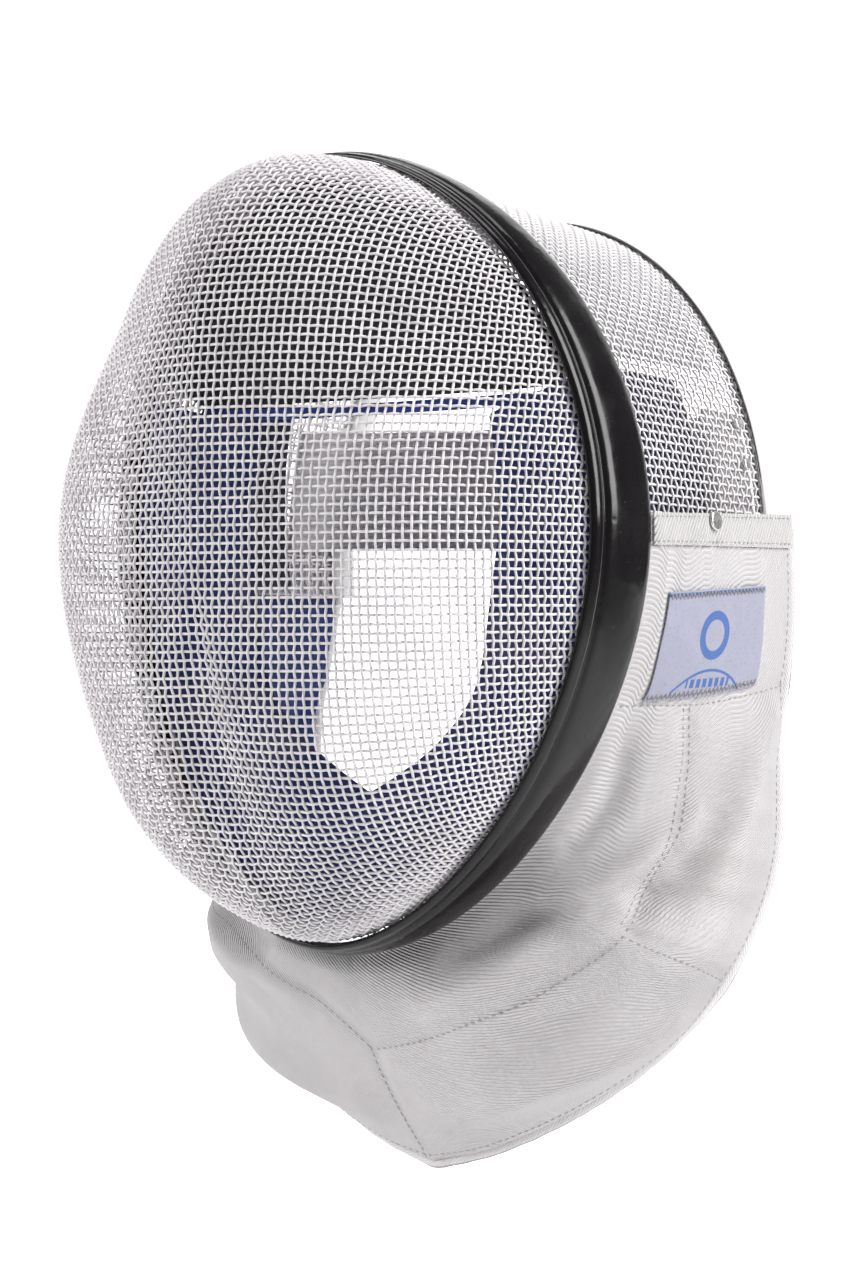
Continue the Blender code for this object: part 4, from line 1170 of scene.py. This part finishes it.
tape_cloth = twill_finish("tape_twill", (0.88, 0.865, 0.86), (0.50, 0.485, 0.48), 0.0017, 0.0009, wrinkles=0.0004)
steel = steel_finish("rivet_nickel")
strap_steel = steel_finish("strap_rivet_nickel")
tapes = tape_pieces(on_bib)
for thing, name in zip(tapes, ("left", "right")):
    give(thing, tape_cloth, "white_tape", "ear_tape_" + name)
tape_lines = []
for side in (1, -1):
    for share in (0.12, 0.88):
        v = np.linspace(0.01, 0.99, 200)
        u = fall(TAPE_WIDTH) * share + 0 * v
        tape_lines.append(on_bib.at(u if side > 0 else 2 - u, v, TAPE_WALL + GAP + 0.0001))
give(stitches("tape_stitches", tape_lines, 0.0018, 0.0010, 0.00022), thread, "white_tape")
for side, name in SIDES:
    u = fall(TAPE_WIDTH) * TAPE_RIVET_DROP
    place, normal = on_bib.at(u if side > 0 else 2 - u, TAPE_RIVET_AT, TAPE_WALL + GAP * 0.2)
    give(rivet_head("tape_rivet_head_" + name, place, normal, TAPE_RIVET_RADIUS), steel, "steel_rivet",
         "tape_rivet_" + name)

label, label_grid = label_piece(on_bib)
give(label, label_finish(), "woven_label", "label")
on_label = Sampler(label_grid, 1.0)
ZIGZAG_STEP, ZIGZAG_RADIUS = 0.0011, 0.00022
corner_at = np.arange(0, LABEL_WIDTH - 0.001, ZIGZAG_STEP)
count = np.arange(len(corner_at))
swing = np.where(count % 2 == 0, -1, 1) * ZIGZAG_STEP / LABEL_HEIGHT
fine = np.linspace(0, len(count) - 1, (len(count) - 1) * 4 + 1)
arch = ZIGZAG_RADIUS * np.abs(np.sin(fine * math.pi)) + 0.0001
paths = []
for edge in (0.045, 0.955):
    place, normal = on_label.at((corner_at + 0.0005) / LABEL_WIDTH, edge + swing)
    ups = unit(read_at(fine, count, -normal))
    paths.append((read_at(fine, count, place) + ups * arch[:, None], ups, ZIGZAG_RADIUS, ZIGZAG_RADIUS))
give(tubes("label_stitches", paths, 5), thread, "woven_label")

forehead, piping = forehead_pieces()
give(forehead, plain_cloth_finish("forehead_knit", (0.013, 0.012, 0.015), (0.004, 0.004, 0.005), 0.0014),
     "forehead_cloth", "forehead_pad")
give(piping, plain_cloth_finish("piping_blue", (0.025, 0.060, 0.360), (0.010, 0.028, 0.180), 0.0009), "blue_piping",
     "forehead_piping")
face_pad = face_cushion()
# The face cushion's lighter lilac patches are painted sheen on its blue cloth.
give(face_pad, plain_cloth_finish("padding_blue", (0.013, 0.033, 0.180), (0.004, 0.009, 0.060), 0.0010,
                                  blotch_and_sheen=(0.060, 0.055, 0.130)), "blue_padding", "face_pad")
crown_pad = crown_cushion()
give(crown_pad, plain_cloth_finish("crown_knit", (0.50, 0.50, 0.52), (0.32, 0.32, 0.34), 0.0012),
     "crown_cloth", "crown_lining")
side_pads = side_cushions()
# Painted shade: the side pads' navy is darkened to nearly black, far below the face cushion's blue, for the shadowed
# inner walls.
side_cloth_painted_shade = plain_cloth_finish("side_knit", (0.008, 0.013, 0.050), (0.003, 0.004, 0.015), 0.0011)
for thing, name in zip(side_pads, ("left", "right")):
    give(thing, side_cloth_painted_shade, "side_padding", "side_pad_" + name)
strap = strap_piece()
give(strap, elastic_finish(), "grey_elastic", "head_strap")
for side, name in SIDES:
    for share, level in zip(STRAP_RIVET_HEIGHTS, ("lower", "upper")):
        at = wall_share(np.array(STRAP_LOW + STRAP_WIDTH * share), STRAP_RIVET_AT)
        place, normal = crown(at, STRAP_RIVET_AT), surface_normal(crown, at, STRAP_RIVET_AT)
        if side < 0:
            place, normal = place * MIRROR, normal * MIRROR
        give(rivet_head("strap_rivet_head_" + name + "_" + level, place, normal, STRAP_RIVET_RADIUS), strap_steel,
             "steel_strap_rivet", "strap_rivet_" + name + "_" + level)

# Stage, light and camera

EYE, LENS_MM, SENSOR_MM = Vector((0.7934, -0.96016, -0.15752)), 93.49, 36.0
FLOOR, SWEEP_NEAR, SWEEP_CURVE_AT, SWEEP_RADIUS, SWEEP_TOP, SWEEP_HALF_WIDTH = -0.80, -3.0, 1.6, 0.9, 3.2, 4.0


def sweep():
    """A pale floor that curves up into a backdrop far behind the mask."""
    back = np.array([-math.sin(VIEW_TURN), math.cos(VIEW_TURN), 0.0])
    side = np.array([math.cos(VIEW_TURN), math.sin(VIEW_TURN), 0.0])
    curve = [(SWEEP_CURVE_AT + SWEEP_RADIUS * math.sin(t), SWEEP_RADIUS - SWEEP_RADIUS * math.cos(t))
             for t in np.linspace(0, math.pi / 2, 16)]
    profile = [(SWEEP_NEAR, 0.0)] + curve + [(SWEEP_CURVE_AT + SWEEP_RADIUS, SWEEP_TOP)]
    rows = [back * reach + np.array([0, 0, FLOOR + rise]) for reach, rise in profile]
    grid = np.array([[row + side * s for s in (-SWEEP_HALF_WIDTH, SWEEP_HALF_WIDTH)] for row in rows])
    under = grid - np.array([0, 0, 0.02]) + back * 0.02
    rings = np.concatenate([grid, under[:, ::-1]], axis=1)
    return loft("pale_sweep", rings + SEAT, smooth=60.0)


stage = sweep()
stage.data.materials.append(stage_finish())


def softbox(name, place, aim, width, height, power, colour=(1.0, 1.0, 1.0)):
    light = bpy.data.lights.new(name, "AREA")
    light.shape, light.size, light.size_y = "RECTANGLE", width, height
    light.energy, light.color = power, colour
    thing = bpy.data.objects.new(name, light)
    bpy.context.scene.collection.objects.link(thing)
    thing.location = place
    thing.rotation_euler = (Vector(aim) - Vector(place)).to_track_quat("-Z", "Y").to_euler()


MASK_MIDDLE = (0.0, 0.0, -0.16)
softbox("key_box", (-0.85, -1.50, 0.60), MASK_MIDDLE, 1.0, 1.0, 26)
softbox("side_box", (1.50, 0.35, 0.60), MASK_MIDDLE, 0.8, 1.4, 35)
softbox("top_box", (0.0, 0.1, 1.5), MASK_MIDDLE, 1.2, 0.8, 11)

scene = bpy.context.scene
world = bpy.data.worlds.new("white_room")
scene.world = world
world.use_nodes = True
world.node_tree.nodes["Background"].inputs["Color"].default_value = (1.0, 1.0, 1.0, 1.0)
world.node_tree.nodes["Background"].inputs["Strength"].default_value = 0.17
scene.view_settings.view_transform = "Standard"

lens = bpy.data.cameras.new("lens")
lens.lens, lens.sensor_width = LENS_MM, SENSOR_MM
camera = bpy.data.objects.new("camera", lens)
scene.collection.objects.link(camera)
camera.location = EYE
camera.rotation_euler = (math.radians(90), 0, VIEW_TURN)
scene.camera = camera
